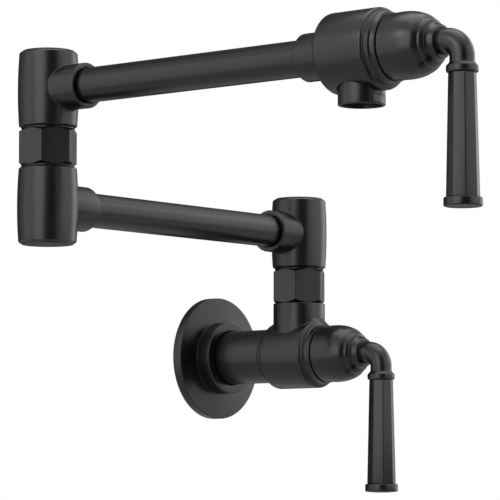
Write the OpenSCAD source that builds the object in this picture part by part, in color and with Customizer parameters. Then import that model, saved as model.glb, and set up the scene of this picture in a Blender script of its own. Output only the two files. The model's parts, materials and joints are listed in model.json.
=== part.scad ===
// Wall mounted pot filler: two swivelling arms, a valve at the wall and a second valve at the spout.
// Origin: centre of the wall flange's back face, on the wall.
// +Z is up, -Y points out into the room and +X is to the right when facing the wall.
// At rest the lower arm points to -X along the wall and the upper arm points to -Y, straight out.
// Both levers hang straight down, which is their closed position.

/* [Layout] */
// Distance from the wall to the base swivel's axis
swivel_out = 68.3; // [64:0.1:90]
// Height of the post's top above the valve axis
post_top = 30.9; // [28:0.1:36]
// Length of the lower arm, axis to axis
lower_arm_len = 220; // [150:1:320]
// Length of the upper arm, elbow axis to outlet axis
upper_arm_len = 215; // [150:1:320]

/* [Wall flange] */
// Radius of the flange's disc
flange_r = 37; // [34:0.5:45]
// Thickness of the flange's disc
flange_t = 6; // [5:0.5:8]
// Radius of the flange's raised hub
flange_hub_r = 21.9; // [21:0.1:24]
// Distance from the wall to the hub's front face
flange_hub_out = 15.5; // [14:0.5:18]
// Radial gap between the hub and the sleeve
flange_gap = 0.4; // [0.3:0.1:0.6]
// Depth of the hollow in the flange's back
flange_hollow = 3; // [2:0.5:3.5]
// Radial width of the gasket under the flange's rim
gasket_w = 4.5; // [3:0.5:6]
// Thickness of the gasket under the flange's rim
gasket_t = 1.6; // [1:0.1:2]

/* [Inlet shank] */
// Outer radius of the polished sleeve round the inlet shank
sleeve_r = 16.2; // [16:0.1:17]
// Outer radius of the inlet shank
shank_r = 13; // [12.6:0.1:13.4]
// Radius of the inlet's tapped hole, a half-inch pipe thread
inlet_thread_r = 9.1; // [9:0.1:9.5]
// Depth of the inlet's tapped hole
inlet_thread_len = 16; // [12:1:20]
// Radius of the waterway through the shank
shank_bore_r = 7; // [6:0.5:8]
// How far the shank screws into the valve body
shank_grip = 6.5; // [5:0.5:6.5]
// Width of the turned ring at the sleeve's front end
sleeve_ring_w = 4.2; // [3:0.1:5]
// Radius of the inlet screen
screen_r = 8.4; // [8.2:0.1:8.6]
// Thickness of the inlet screen
screen_t = 1.2; // [0.8:0.1:2]

/* [Valve bodies] */
// Radius of the wall valve's body
wall_body_r = 20.05; // [20:0.05:22]
// Radius of the spout valve's body
spout_body_r = 20.8; // [20:0.1:22]
// Length of the wall valve's body behind its post
wall_body_back = 15.8; // [15.5:0.1:18]
// Length of the spout valve's body behind its outlet
spout_body_back = 17.2; // [17:0.1:19]
// Length of either body in front of its post or outlet
body_front = 20.95; // [20.9:0.05:23]
// Length of the stepped rim at the wall body's front
wall_rim_len = 6.6; // [5:0.1:7]
// Length of the two steps in the wall body's rim
wall_steps_len = 3.8; // [3:0.1:5]
// Length of the stepped rim at the spout body's front
spout_rim_len = 7.5; // [6:0.1:8]
// Length of the two steps in the spout body's rim
spout_steps_len = 6.2; // [5:0.1:6.6]
// Height of either body's lip above the bell beside it
rim_lip = 0.5; // [0.4:0.05:0.6]
// Radius of the turned ring behind the spout body
spout_ring_r = 12.8; // [12.7:0.1:13.4]
// Length of the turned ring behind the spout body
spout_ring_len = 6.4; // [5:0.1:7]
// Radius of the wall valve's post
post_r = 15.5; // [15:0.1:16]
// Radius of the waterway behind the cartridge
feed_r = 5; // [4:0.5:6]
// Radius of the cartridge's chamber
chamber_r = 13; // [12.8:0.1:13.2]
// Depth of the cartridge's chamber
chamber_depth = 20; // [19.5:0.1:21]
// Radius of the thread that takes the retaining nut
nut_thread_r = 15; // [14.8:0.1:15.2]
// Depth of that thread
nut_thread_len = 7.6; // [7:0.1:8]

/* [Swivels] */
// Distance across the corners of the hexagonal swivel nuts, halved
hex_r = 16.6; // [16.2:0.1:17.5]
// Height of the hexagonal swivel nuts
hex_h = 19.8; // [19:0.1:22]
// Gap under the base nut
base_nut_gap = 0.3; // [0.2:0.1:1.2]
// Gap under the elbow nut
elbow_nut_gap = 0.9; // [0.2:0.1:1.2]
// Gap between either nut and the barrel above it
over_nut_gap = 1.1; // [0.8:0.1:1.6]
// Radius of the thin ring on top of a swivel nut, which fills most of that gap
nut_ring_r = 14.6; // [14:0.1:14.8]
// Thickness of that ring
nut_ring_t = 0.5; // [0.4:0.05:0.6]
// Radius of the threaded neck that a swivel nut screws onto
neck_r = 12; // [11.8:0.1:12.2]
// Height of that neck
neck_h = 9.5; // [8:0.5:10]
// Radius of the spindle where it turns in the nut
spindle_r = 9; // [8.6:0.1:9.4]
// Radius of the spindle's sealed tail
tail_r = 8; // [7.6:0.1:8.2]
// Length of the spindle's sealed tail
tail_len = 17; // [15:0.5:18]
// Radius of the waterway through the spindle
spindle_bore_r = 5; // [4:0.5:5.2]
// Thickness of the spindle's shoulder
shoulder_t = 2.5; // [2:0.1:3]
// Thickness of the glide washer under the shoulder
glide_t = 1; // [0.8:0.1:1.4]
// Radius of an O-ring's cross-section
oring_wire = 0.7; // [0.6:0.05:0.8]

/* [Barrels] */
// Radius of a swivel barrel at its middle
barrel_r = 16.65; // [16.5:0.05:18]
// Radius of a swivel barrel at its ends
barrel_end_r = 15.9; // [15.7:0.1:16.4]
// Height of a swivel barrel between its end chamfers
barrel_h = 39.8; // [39:0.1:44]
// Height of the chamfer at each end of a barrel
barrel_chamfer = 0.85; // [0.5:0.05:1.2]
// Radius of the water chamber inside a barrel
barrel_chamber_r = 11; // [10.5:0.1:11.4]
// Length of the screwed end of a spindle or of the wall at a barrel's closed end
barrel_floor = 9.5; // [8:0.5:10]
// Radius of a barrel's end cap
cap_r = 14.3; // [14:0.1:14.8]
// Thickness of the edge of a barrel's end cap
cap_t = 0.8; // [0.8:0.1:2]
// Rise of the dome of a barrel's end cap
cap_dome = 0.1; // [0.1:0.1:0.8]
// Length of the screwed skirt of a barrel's end cap
cap_skirt = 5; // [4:0.5:7]

/* [Arm tubes] */
// Outer radius of an arm tube, three quarters of an inch across
tube_r = 9.525; // [9.2:0.025:10]
// Wall of an arm tube
tube_wall = 1.5; // [1.2:0.1:2]
// Radius of the collar that holds an arm tube
collar_r = 12.4; // [12.2:0.1:13]
// Distance from a barrel's axis to the end of its collar
collar_out = 29.5; // [28:0.1:32]
// Depth of the recess in the collar's end
collar_recess = 2; // [1.5:0.1:3]
// Distance from a barrel's axis to the end of the tube inside it
tube_stop = 13; // [12.5:0.1:14]
// Distance from the outlet's axis back to the end of the spout's collar
spout_collar_out = 34.8; // [33:0.1:37]
// Distance from the outlet's axis back to the end of the tube inside the spout
spout_tube_stop = 20; // [19:0.5:22]

/* [Outlet] */
// Radius of the aerator housing
outlet_r = 12; // [11.8:0.1:12.4]
// Drop from the upper arm's axis to the outlet's mouth
outlet_drop = 27.5; // [27:0.1:30]
// Radius of the hole in the outlet's mouth
mouth_r = 10.1; // [9.9:0.1:10.3]
// Distance across the aerator housing's two wrench flats
outlet_flats = 22; // [21.6:0.1:22.6]
// Height of the wrench flats
outlet_flat_h = 4.2; // [3:0.1:5]
// Distance from the mouth up to the aerator insert
mouth_depth = 4.2; // [4.1:0.1:5]
// Radius of the aerator housing's screwed spigot
spigot_r = 10.5; // [10.4:0.1:10.8]
// Radial gap round the aerator housing where it enters the spout body
outlet_gap = 0.5; // [0.3:0.1:0.8]
// Thickness of the washer over the aerator insert
outlet_washer_t = 1.1; // [0.8:0.1:1.4]
// Radius of one of the aerator insert's holes
jet_r = 0.8; // [0.6:0.05:1]

/* [Cartridges] */
// Outer radius of the ceramic discs
disc_r = 9.4; // [9:0.1:9.6]
// Thickness of each ceramic disc
disc_t = 2.6; // [2:0.1:2.8]
// Thickness of the rubber seat under the discs
seat_t = 1.4; // [1:0.1:1.8]
// Radius of the valve stem
stem_r = 5; // [4.6:0.1:5.2]
// Outer radius of the cartridge's neck
cartridge_neck_r = 8; // [7.6:0.1:8.4]
// How far the cartridge's neck stands out of the body
cartridge_neck_out = 7.4; // [6:0.1:8]
// Distance across the retaining nut's corners, halved
nut_hex_r = 13.8; // [13:0.1:14]
// How far the retaining nut's hexagon stands out of the body
nut_hex_h = 4; // [3:0.5:5]
// Radius of the splines on the stem
spline_r = 4.4; // [4.2:0.1:4.5]
// Length of the splines on the stem
spline_len = 7; // [5:0.5:7]
// Number of splines on the stem
spline_count = 20; // [16:2:24]

/* [Bells] */
// Gap between a valve body and its bell
bell_gap = 0.45; // [0.4:0.05:1]
// Radius of a bell at its rear rim
bell_r = 16.95; // [16.9:0.05:17.6]
// Length of the bell's straight part
bell_straight = 7.4; // [7:0.1:9]
// Distance from the bell's rear rim to the crease of its dome
bell_crease = 21.7; // [20:0.1:23]
// Radius of the dome at its crease
crease_r = 12.5; // [12:0.05:13]
// Distance from the bell's rear rim to its nose's front face
bell_len = 28.3; // [28:0.1:31]
// Radius of the nose's front edge
nose_r = 7.9; // [7.7:0.05:8.4]
// Radius of the recess in the nose
nose_recess_r = 6.95; // [6.9:0.05:7.4]
// Depth of the recess in the nose
nose_recess = 1.2; // [1:0.1:2]
// Depth of the bell's hollow
bell_hollow = 9; // [8.5:0.5:9.5]
// Radius of the bell's hollow
bell_hollow_r = 14.5; // [14.4:0.1:14.6]
// Distance from the bell's rear rim to the set screw
hub_screw_at = 15; // [14.5:0.5:16]
// Radius of the set screw
hub_screw_r = 2; // [1.5:0.5:2.5]
// Length of the set screw
hub_screw_len = 8; // [6:0.5:9]

/* [Levers] */
// Distance from the bell's rear rim to the lever's axis
lever_out = 40; // [39:0.1:42]
// Radius of the lever's neck
lever_neck_r = 6.25; // [6:0.05:6.4]
// Bend radius of the lever's neck
lever_bend_r = 8.8; // [8:0.1:9.6]
// Radius of the spigot that holds the neck in the bell's nose
lever_spigot_r = 5; // [4.5:0.1:5.4]
// Length of that spigot
lever_spigot_len = 7; // [6:0.5:7]
// Drop from the valve's axis to the top of the neck's ring
ring_top = 12.45; // [12:0.05:14]
// Drop from the valve's axis to the bottom of the neck's ring
ring_bottom = 16.4; // [16:0.1:18]
// Radius of the neck's ring
ring_r = 8; // [7.6:0.1:8.6]
// Drop from the valve's axis to the bottom of the grip
grip_bottom = 77.4; // [60:0.1:95]
// Distance across the grip's corners at its top, halved
grip_top_r = 7.05; // [6.2:0.05:7.4]
// Distance across the grip's corners at its bottom, halved
grip_bottom_r = 8.5; // [7:0.05:9]
// Radius of the lever's end cap
lever_cap_r = 9.6; // [9:0.1:10.5]
// Thickness of the lever's end cap
lever_cap_t = 4.6; // [4:0.1:6]
// Radius of the rod that ties the grip together
rod_r = 2.5; // [2:0.1:3]

/* [Fits] */
// Radial clearance of a turning fit
turn_fit = 0.05; // [0.04:0.01:0.08]
// Radial clearance of a screwed or pressed fit
screw_fit = 0.05; // [0.03:0.01:0.08]

/* [Hidden] */
$fn = 96;

matte_black = "#333536";
brass = "#b89a5b";
steel = "#a8adb0";
ceramic = "#e9e6df";
rubber = "#1d1d1d";
white_plastic = "#eceae4";

// Amount by which a cut runs past the face it opens
past = 1;

// Height of a barrel from its middle to either end face
barrel_half = barrel_h / 2 + barrel_chamfer;
// Heights of the two arms
lower_arm_z = post_top + base_nut_gap + hex_h + over_nut_gap + barrel_half;
elbow_plane_z = lower_arm_z + barrel_half;
upper_arm_z = elbow_plane_z + elbow_nut_gap + hex_h + over_nut_gap + barrel_half;

// Swivel heights above the plane that the nut stands on
glide_gap = turn_fit;
shoulder_low = neck_h + glide_t + glide_gap;
shoulder_top = shoulder_low + shoulder_t;
shoulder_play = 0.3;
shoulder_r = neck_r - 0.3;
foot_ring_r = neck_r + 2.2;
groove_r = tail_r + turn_fit - 2 * oring_wire - 0.05;
oring_gap = 0.15;
oring_first = 4;
oring_pitch = 5;

// Cartridge places along a valve's axis, measured from the post's or outlet's axis
chamber_floor = body_front - chamber_depth;
nut_seat = body_front - nut_thread_len;
disc_low = chamber_floor + seat_t;
disc_mid = disc_low + disc_t;
disc_gap = turn_fit;
disc_top = disc_mid + disc_gap + disc_t;
driver_t = 2.4;
driver_low = disc_top;
driver_top = driver_low + driver_t;
housing_wall = 0.3;
housing_bore_r = disc_r + 0.15;
housing_roof = driver_top + housing_wall;
neck_end = body_front + cartridge_neck_out;
bell_back = body_front + bell_gap;
bell_cavity_end = cartridge_neck_out + 3.4;
spline_low = bell_back + bell_cavity_end;
lever_at = bell_back + lever_out;

// Post and outlet waterways
post_bore_floor = feed_r + 4;
outlet_bore_top = feed_r + 6;
seat_drop = sqrt(pow(spout_body_r, 2) - pow(outlet_r, 2)) - 0.4;
spigot_top = chamber_r + 0.3;
insert_low = outlet_drop - mouth_depth;
insert_top = seat_drop + 0.6 + outlet_washer_t;

// Points of an arc about a centre, from angle a0 to a1 in n steps
function arc_points(centre, r, a0, a1, n) =
    [for (i = [0:n]) let (a = a0 + (a1 - a0) * i / n) centre + r * [cos(a), sin(a)]];

// A turned solid from its half outline
module turned(points) {
    rotate_extrude() polygon(points);
}

// A round ring between two heights
module ring(outer, inner, low, high) {
    translate([0, 0, low])
        difference() {
            cylinder(r = outer, h = high - low);
            translate([0, 0, -past]) cylinder(r = inner, h = high - low + 2 * past);
        }
}

// A round bar or cut between two heights
module bar(r, low, high) {
    translate([0, 0, low]) cylinder(r = r, h = high - low);
}

// One O-ring
module oring(ring_r, wire) {
    rotate_extrude() translate([ring_r, 0]) circle(r = wire, $fn = 32);
}

// Places: each turns local +Z into the piece's own direction
module on_wall_axis(out) {
    translate([0, -out, 0]) rotate([90, 0, 0]) children();
}

module at_base(height) {
    translate([0, -swivel_out, height]) children();
}

module at_elbow(height) {
    translate([-lower_arm_len, -swivel_out, height]) children();
}

module on_spout_axis(out) {
    at_elbow(upper_arm_z) translate([0, -out, 0]) rotate([90, 0, 0]) children();
}

// Wall flange: turned disc with a raised hub, hollow at the back, with grooves for its two seals
module wall_flange() {
    hub_round = 0.8;
    edge = 0.5;
    bore_r = sleeve_r + flange_gap;
    color(matte_black) on_wall_axis(0) difference() {
        turned(concat(
            [[bore_r, 0], [flange_r, 0]],
            arc_points([flange_r - edge, flange_t - edge], edge, 0, 90, 4),
            [[flange_hub_r, flange_t]],
            arc_points([flange_hub_r - hub_round, flange_hub_out - hub_round], hub_round, 0, 90, 5),
            [[bore_r, flange_hub_out]]));
        ring(flange_r - gasket_w - 2.5, flange_hub_r - 1, -past, flange_hollow);
        ring(flange_r - 1.2, flange_r - 1.2 - gasket_w, -past, gasket_t);
        translate([0, 0, flange_hub_out / 2 + 2])
            ring(sleeve_r + 2.1, bore_r - 0.1, -1.3, 1.3);
    }
}

module flange_gasket() {
    color(rubber) on_wall_axis(0)
        ring(flange_r - 1.3, flange_r - 1.1 - gasket_w, 0.05, gasket_t - 0.05);
}

module flange_oring() {
    wire = 0.95;
    color(rubber) on_wall_axis(flange_hub_out / 2 + 2) oring(sleeve_r + 0.05 + wire, wire);
}

// Sleeve: covers the shank from the wall to the body and ends in a turned ring
module shank_sleeve() {
    length = swivel_out - wall_body_back;
    ring_start = length - sleeve_ring_w;
    groove = 0.4;
    color(matte_black) on_wall_axis(0) turned([
        [shank_r + screw_fit, 0.2], [sleeve_r, 0.2], [sleeve_r, ring_start],
        [sleeve_r - groove, ring_start + groove], [sleeve_r - groove, ring_start + 2 * groove],
        [sleeve_r + 0.1, ring_start + 3 * groove], [sleeve_r + 0.1, length - groove],
        [sleeve_r - groove, length - 0.02], [shank_r + screw_fit, length - 0.02]
    ]);
}

// Inlet shank: brass, tapped at the wall and screwed into the valve body
module inlet_shank() {
    length = swivel_out - wall_body_back + shank_grip;
    color(brass) on_wall_axis(0) difference() {
        bar(shank_r, 0, length);
        bar(inlet_thread_r, -past, inlet_thread_len);
        bar(screen_r + screw_fit, 0, inlet_thread_len + screen_t + 0.1);
        bar(shank_bore_r, 0, length + past);
    }
}

// Inlet screen: a steel disc with two rings of holes, seated just below the tapped hole
module inlet_screen() {
    hole_count = 12;
    color(steel) on_wall_axis(inlet_thread_len + 0.05) difference() {
        bar(screen_r, 0, screen_t);
        bar(0.9, -past, screen_t + past);
        for (i = [0:hole_count - 1])
            rotate(i * 360 / hole_count) translate([shank_bore_r - 1.6, 0, 0])
                bar(0.9, -past, screen_t + past);
        for (i = [0:hole_count / 2 - 1])
            rotate(i * 720 / hole_count) translate([shank_bore_r - 4.2, 0, 0])
                bar(0.8, -past, screen_t + past);
    }
}

// Outline of a valve body, from its rounded back to its front rim, which steps down twice to a lip
// The steps' places are shares of their length, and of the depth from the body down to the lip
rim_shape = [
    [0, 0], [0.055, 0.02], [0.11, 0.06], [0.16, 0.125], [0.2, 0.215], [0.23, 0.315], [0.25, 0.42],
    [0.28, 0.54], [0.33, 0.61], [0.4, 0.635], [0.6, 0.64], [0.645, 0.67], [0.695, 0.745],
    [0.74, 0.835], [0.79, 0.895], [0.87, 0.955], [1, 1]
];

function body_outline(r, back, round_l, round_r, rim, steps) = concat(
    [[0, -back]],
    [for (i = [0:8]) let (a = i * 90 / 8)
        [r - round_r * (1 - sin(a)), -back + round_l * (1 - cos(a))]],
    [for (q = rim_shape)
        [r - q[1] * (r - bell_r - rim_lip), body_front - rim + q[0] * min(steps, rim - 0.4)]],
    [[bell_r + rim_lip, body_front - 0.15], [bell_r + rim_lip - 0.15, body_front], [0, body_front]]);

// What is cut out of either body for the cartridge
module cartridge_cuts() {
    bar(chamber_r, chamber_floor, body_front + past);
    bar(nut_thread_r + screw_fit, nut_seat, body_front + past);
}

// Wall valve body: cast brass with its post, which carries the base swivel nut's threaded neck
module wall_valve_body() {
    color(matte_black) on_wall_axis(swivel_out) difference() {
        union() {
            turned(body_outline(wall_body_r, wall_body_back, 2, 2, wall_rim_len, wall_steps_len));
            rotate([-90, 0, 0]) turned([
                [0, feed_r], [post_r, feed_r], [post_r, post_top - 0.5], [post_r - 0.5, post_top],
                [neck_r, post_top], [neck_r, post_top + neck_h], [0, post_top + neck_h]]);
        }
        cartridge_cuts();
        bar(shank_r + screw_fit, -wall_body_back - past, -wall_body_back + shank_grip);
        bar(feed_r, -wall_body_back, chamber_floor + past);
        rotate([-90, 0, 0]) bar(tail_r + turn_fit, post_bore_floor, post_top + neck_h + past);
    }
}

// Cartridge: rubber seat, two ceramic discs, brass housing, stem and retaining nut
module seat_seal() {
    color(rubber) ring(disc_r - 0.4, feed_r + 0.5, chamber_floor, disc_low);
}

// Two quarter ports through a disc
module ports(low, high) {
    inner = 2;
    outer = disc_r - 1.6;
    for (side = [0, 180])
        translate([0, 0, low]) rotate(side - 42)
            rotate_extrude(angle = 84) translate([inner, 0]) square([outer - inner, high - low]);
}

module fixed_disc() {
    color(ceramic) difference() {
        bar(disc_r, disc_low, disc_mid);
        ports(disc_low - past, disc_mid + past);
    }
}

module moving_disc() {
    color(ceramic) difference() {
        bar(disc_r, disc_mid + disc_gap, disc_top);
        rotate(90) ports(disc_low, disc_top + past);
    }
}

module cartridge_housing() {
    window_w = 8;
    window_low = disc_mid + disc_gap;
    color(brass) difference() {
        union() {
            bar(chamber_r - screw_fit, disc_low, nut_seat);
            bar(cartridge_neck_r, nut_seat, neck_end);
        }
        bar(housing_bore_r, disc_low - past, housing_roof);
        bar(stem_r + turn_fit, disc_low, neck_end + past);
        for (side = [0:3])
            rotate(side * 90) translate([0, -window_w / 2, window_low])
                cube([chamber_r + past, window_w, housing_roof - window_low]);
    }
}

module retaining_nut() {
    color(brass) difference() {
        union() {
            bar(nut_thread_r, nut_seat, body_front);
            translate([0, 0, body_front]) cylinder(r = nut_hex_r, h = nut_hex_h, $fn = 6);
        }
        bar(cartridge_neck_r + screw_fit, nut_seat - past, body_front + nut_hex_h + past);
    }
}

module stem() {
    seal_at = neck_end - 5;
    color(brass) difference() {
        union() {
            bar(housing_bore_r - 0.1, driver_low, driver_top);
            bar(stem_r, driver_low, spline_low - 0.5);
            translate([0, 0, spline_low - 0.6]) linear_extrude(height = spline_len + 0.6)
                polygon([for (i = [0:2 * spline_count - 1])
                    (spline_r - (i % 2) * 0.4) * [cos(i * 180 / spline_count), sin(i * 180 / spline_count)]]);
        }
        ring(stem_r + past, stem_r + turn_fit - 2 * oring_wire - 0.05,
            seal_at - oring_wire - oring_gap, seal_at + oring_wire + oring_gap);
    }
}

module stem_oring() {
    color(rubber) translate([0, 0, neck_end - 5]) oring(stem_r - oring_wire, oring_wire);
}

// Bell: the lever's hub, which covers the cartridge, grips the stem's splines and holds the lever's neck
// The dome, in shares of the way to its crease and of the radius that is left over the crease's
dome_shape = [
    [0, 1], [0.15, 0.985], [0.29, 0.945], [0.425, 0.885], [0.545, 0.795], [0.65, 0.685], [0.75, 0.575],
    [0.835, 0.445], [0.9, 0.3], [0.955, 0.15], [1, 0]
];
// The cove, in shares of the way from the crease to the nose's face and of the drop to the nose's edge
cove_shape = [
    [0.01, 0.005], [0.12, 0.055], [0.21, 0.135], [0.295, 0.245], [0.365, 0.365], [0.425, 0.49], [0.485, 0.6],
    [0.545, 0.665], [0.62, 0.715], [0.73, 0.765], [0.88, 0.835], [0.955, 0.875], [0.99, 0.925], [1, 1]
];

module bell() {
    color(matte_black) difference() {
        translate([0, 0, bell_back]) turned(concat(
            [[0, 0], [bell_r - 0.15, 0], [bell_r, 0.15]],
            [for (q = dome_shape)
                [crease_r + (bell_r - crease_r) * q[1], bell_straight + (bell_crease - bell_straight) * q[0]]],
            [for (q = cove_shape)
                [crease_r - (crease_r - nose_r) * q[1], bell_crease + (bell_len - bell_crease) * q[0]]],
            [[0, bell_len]]));
        translate([0, 0, bell_back]) {
            bar(bell_hollow_r, -past, bell_hollow);
            bar(cartridge_neck_r + 1, 0, bell_cavity_end);
            bar(spline_r + screw_fit, 0, bell_cavity_end + spline_len + 0.5);
            bar(lever_spigot_r + screw_fit, bell_len - lever_spigot_len - 0.3, bell_len + past);
            bar(nose_recess_r, bell_len - nose_recess, bell_len + past);
            translate([0, 0, hub_screw_at]) rotate([0, 90, 0]) bar(hub_screw_r + screw_fit, 0, bell_r + past);
        }
    }
}

module bell_screw() {
    key_r = 1.15;
    key_depth = 2.5;
    color(steel) translate([0, 0, bell_back + hub_screw_at]) rotate([0, 90, 0]) difference() {
        bar(hub_screw_r, spline_r + 0.1, spline_r + 0.1 + hub_screw_len);
        translate([0, 0, spline_r + 0.1 + hub_screw_len - key_depth])
            cylinder(r = key_r, h = key_depth + past, $fn = 6);
    }
}

// Lever neck: a bent bar with a flared ring that the grip seats against
module lever_neck() {
    // The neck's hollow flare and the ring's shoulder share one slope
    flare_r = 2.4;
    slope = 50;
    edge = 0.9;
    low_edge = 0.6;
    shoulder_r = lever_neck_r + flare_r * (1 - cos(slope));
    side_top = ring_top + (ring_r - edge * (1 - cos(slope)) - shoulder_r) / tan(slope) + edge * sin(slope);
    nose = bell_back + bell_len;
    bend_r = lever_bend_r;
    color(matte_black) difference() {
        union() {
            bar(lever_spigot_r, nose - lever_spigot_len, nose);
            bar(lever_neck_r, nose - nose_recess + 0.05, lever_at - bend_r);
            turned([[0, nose - 0.5], [lever_neck_r, nose - 0.5], [lever_neck_r + 0.3, nose - 0.3],
                [lever_neck_r + 0.3, nose + 0.1], [lever_neck_r, nose + 0.4], [0, nose + 0.4]]);
            translate([0, -bend_r, lever_at - bend_r]) rotate([0, -90, 0])
                rotate_extrude(angle = 90) translate([bend_r, 0]) circle(r = lever_neck_r, $fn = 64);
            translate([0, 0, lever_at]) rotate([90, 0, 0]) turned(concat(
                [[0, bend_r], [lever_neck_r, bend_r]],
                arc_points([lever_neck_r + flare_r, ring_top - flare_r * sin(slope)], flare_r, 180, 180 - slope, 5),
                arc_points([ring_r - edge, side_top], edge, -slope, 0, 4),
                arc_points([ring_r - low_edge, ring_bottom - low_edge], low_edge, 0, 90, 4),
                [[0, ring_bottom]]));
        }
        translate([0, 0, lever_at]) rotate([90, 0, 0])
            bar(rod_r + screw_fit, bend_r, ring_bottom + past);
    }
}

module lever_rod() {
    color(steel) translate([0, 0, lever_at]) rotate([90, 0, 0])
        bar(rod_r, lever_bend_r + 0.3, grip_bottom + lever_cap_t - 2);
}

// Lever grip: a tapered eight-sided bar with a hole for the tie rod
module lever_grip() {
    sides = 8;
    top = ring_bottom;
    length = grip_bottom - top;
    flat_top = grip_top_r * cos(180 / sides);
    flat_bottom = grip_bottom_r * cos(180 / sides);
    lean = atan((flat_bottom - flat_top) / length);
    slab = 2 * grip_bottom_r;
    color(matte_black) translate([0, 0, lever_at]) rotate([90, 0, 0]) difference() {
        bar(grip_bottom_r + 0.4, top, grip_bottom);
        for (i = [0:sides - 1])
            rotate((i + 0.5) * 360 / sides)
                translate([flat_top, -slab, top]) rotate([0, lean, 0])
                    translate([0, 0, -slab]) cube([slab, 2 * slab, length + 2 * slab]);
        bar(rod_r + 0.3, top - past, grip_bottom + past);
    }
}

module lever_cap() {
    edge = 0.7;
    dome = 0.5;
    bottom = grip_bottom + lever_cap_t;
    color(matte_black) translate([0, 0, lever_at]) rotate([90, 0, 0]) difference() {
        turned(concat(
            [[0, grip_bottom], [lever_cap_r - edge, grip_bottom]],
            arc_points([lever_cap_r - edge, grip_bottom + edge], edge, -90, 0, 4),
            arc_points([lever_cap_r - edge, bottom - edge], edge, 0, 90, 4),
            [for (i = [1:6]) let (t = i / 6)
                [(lever_cap_r - edge) * (1 - t), bottom + dome * (1 - pow(1 - t, 2))]]));
        bar(rod_r + screw_fit, grip_bottom - past, grip_bottom + lever_cap_t - 1.8);
    }
}

// Hexagonal swivel nut: screwed to the threaded neck, it traps the spindle's shoulder
module swivel_nut(gap) {
    crown = 30;
    flat_r = hex_r * cos(30);
    drop = (hex_r - flat_r) * tan(crown);
    foot = gap > 0.6 ? 0.5 : 0;
    ring_high = hex_h + over_nut_gap - 0.3;
    color(matte_black) difference() {
        union() {
            intersection() {
                rotate(30) cylinder(r = hex_r, h = hex_h, $fn = 6);
                turned([[0, 0], [flat_r, 0], [hex_r, drop], [hex_r + past, drop + past],
                    [hex_r + past, hex_h - drop - past], [hex_r, hex_h - drop], [flat_r, hex_h],
                    [0, hex_h]]);
            }
            if (foot > 0) bar(foot_ring_r, -foot, 0.1);
            bar(nut_ring_r - 1.2, hex_h - 0.1, ring_high - 0.1);
            bar(nut_ring_r, ring_high - nut_ring_t, ring_high);
        }
        bar(neck_r + screw_fit, -foot - past, shoulder_top + shoulder_play - gap);
        bar(spindle_r + turn_fit, 0, ring_high + past);
    }
}

module glide_washer() {
    color(white_plastic) ring(neck_r - 0.3, tail_r + turn_fit, neck_h, neck_h + glide_t);
}

// Spindle: hollow, screwed into the barrel above, with a shoulder and a sealed tail
module spindle(gap) {
    top = gap + hex_h + over_nut_gap + barrel_floor - 0.3;
    color(brass) difference() {
        union() {
            bar(tail_r, shoulder_low - glide_t - tail_len, shoulder_low);
            bar(shoulder_r, shoulder_low, shoulder_top);
            bar(spindle_r, shoulder_top, top);
        }
        bar(spindle_bore_r, shoulder_low - glide_t - tail_len - past, top + past);
        for (i = [0, 1])
            translate([0, 0, neck_h - oring_first - i * oring_pitch])
                ring(tail_r + past, groove_r, -oring_wire - oring_gap, oring_wire + oring_gap);
    }
}

module spindle_orings() {
    color(rubber) for (i = [0, 1])
        translate([0, 0, neck_h - oring_first - i * oring_pitch])
            oring(tail_r - oring_wire, oring_wire);
}

// Outline of a swivel barrel: slightly swollen, with a chamfer at each end
function barrel_outline(n) = concat(
    [[0, -barrel_half], [barrel_end_r - 1, -barrel_half]],
    [for (i = [-n:n]) [barrel_end_r + (barrel_r - barrel_end_r) * (1 - pow(i / n, 2)), i / n * barrel_h / 2]],
    [[barrel_end_r - 1, barrel_half], [0, barrel_half]]);

// Collar for an arm tube along local +X, from the axis to its rounded and recessed end
module collar(out) {
    lip = 0.9;
    rotate([0, 90, 0]) turned(concat(
        [[0, 0], [collar_r, 0]],
        arc_points([collar_r - lip, out - lip], lip, 0, 90, 5),
        [[0, out]]));
}

module collar_cuts(out, stop) {
    rotate([0, 90, 0]) {
        bar(tube_r + screw_fit, stop, out + past);
        bar(tube_r + 1.1, out - collar_recess, out + past);
    }
}

// Barrel that turns on a spindle: closed by a cap at its top, with the collar along local +X
module head_barrel() {
    color(matte_black) difference() {
        union() {
            turned(barrel_outline(8));
            collar(collar_out);
        }
        bar(barrel_chamber_r, -barrel_half + barrel_floor, barrel_half + past);
        bar(spindle_r + screw_fit, -barrel_half - past, 0);
        rotate([0, 90, 0]) bar(tube_r - tube_wall, 0, tube_stop + past);
        collar_cuts(collar_out, tube_stop);
    }
}

// Barrel that carries a swivel nut on its neck: closed by a cap at its bottom
module neck_barrel() {
    color(matte_black) difference() {
        union() {
            turned(barrel_outline(8));
            collar(collar_out);
            bar(neck_r, 0, barrel_half + neck_h);
        }
        bar(barrel_chamber_r, -barrel_half - past, barrel_half - barrel_floor);
        bar(tail_r + turn_fit, 0, barrel_half + neck_h + past);
        rotate([0, 90, 0]) bar(tube_r - tube_wall, 0, tube_stop + past);
        collar_cuts(collar_out, tube_stop);
    }
}

// End cap of a barrel, standing on local z = 0
module barrel_cap() {
    edge = 0.7;
    color(matte_black) turned(concat(
        [[0, -cap_skirt], [barrel_chamber_r - screw_fit, -cap_skirt], [barrel_chamber_r - screw_fit, 0],
         [cap_r, 0]],
        arc_points([cap_r - edge, cap_t - edge], edge, 0, 90, 4),
        [for (i = [1:6]) let (t = i / 6)
            [(cap_r - edge) * (1 - t), cap_t + cap_dome * (1 - pow(1 - t, 2))]]));
}

// Arm tube along local +Z between two stops
module arm_tube(low, high) {
    color(matte_black) ring(tube_r, tube_r - tube_wall, low + 0.05, high - 0.05);
}

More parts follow.
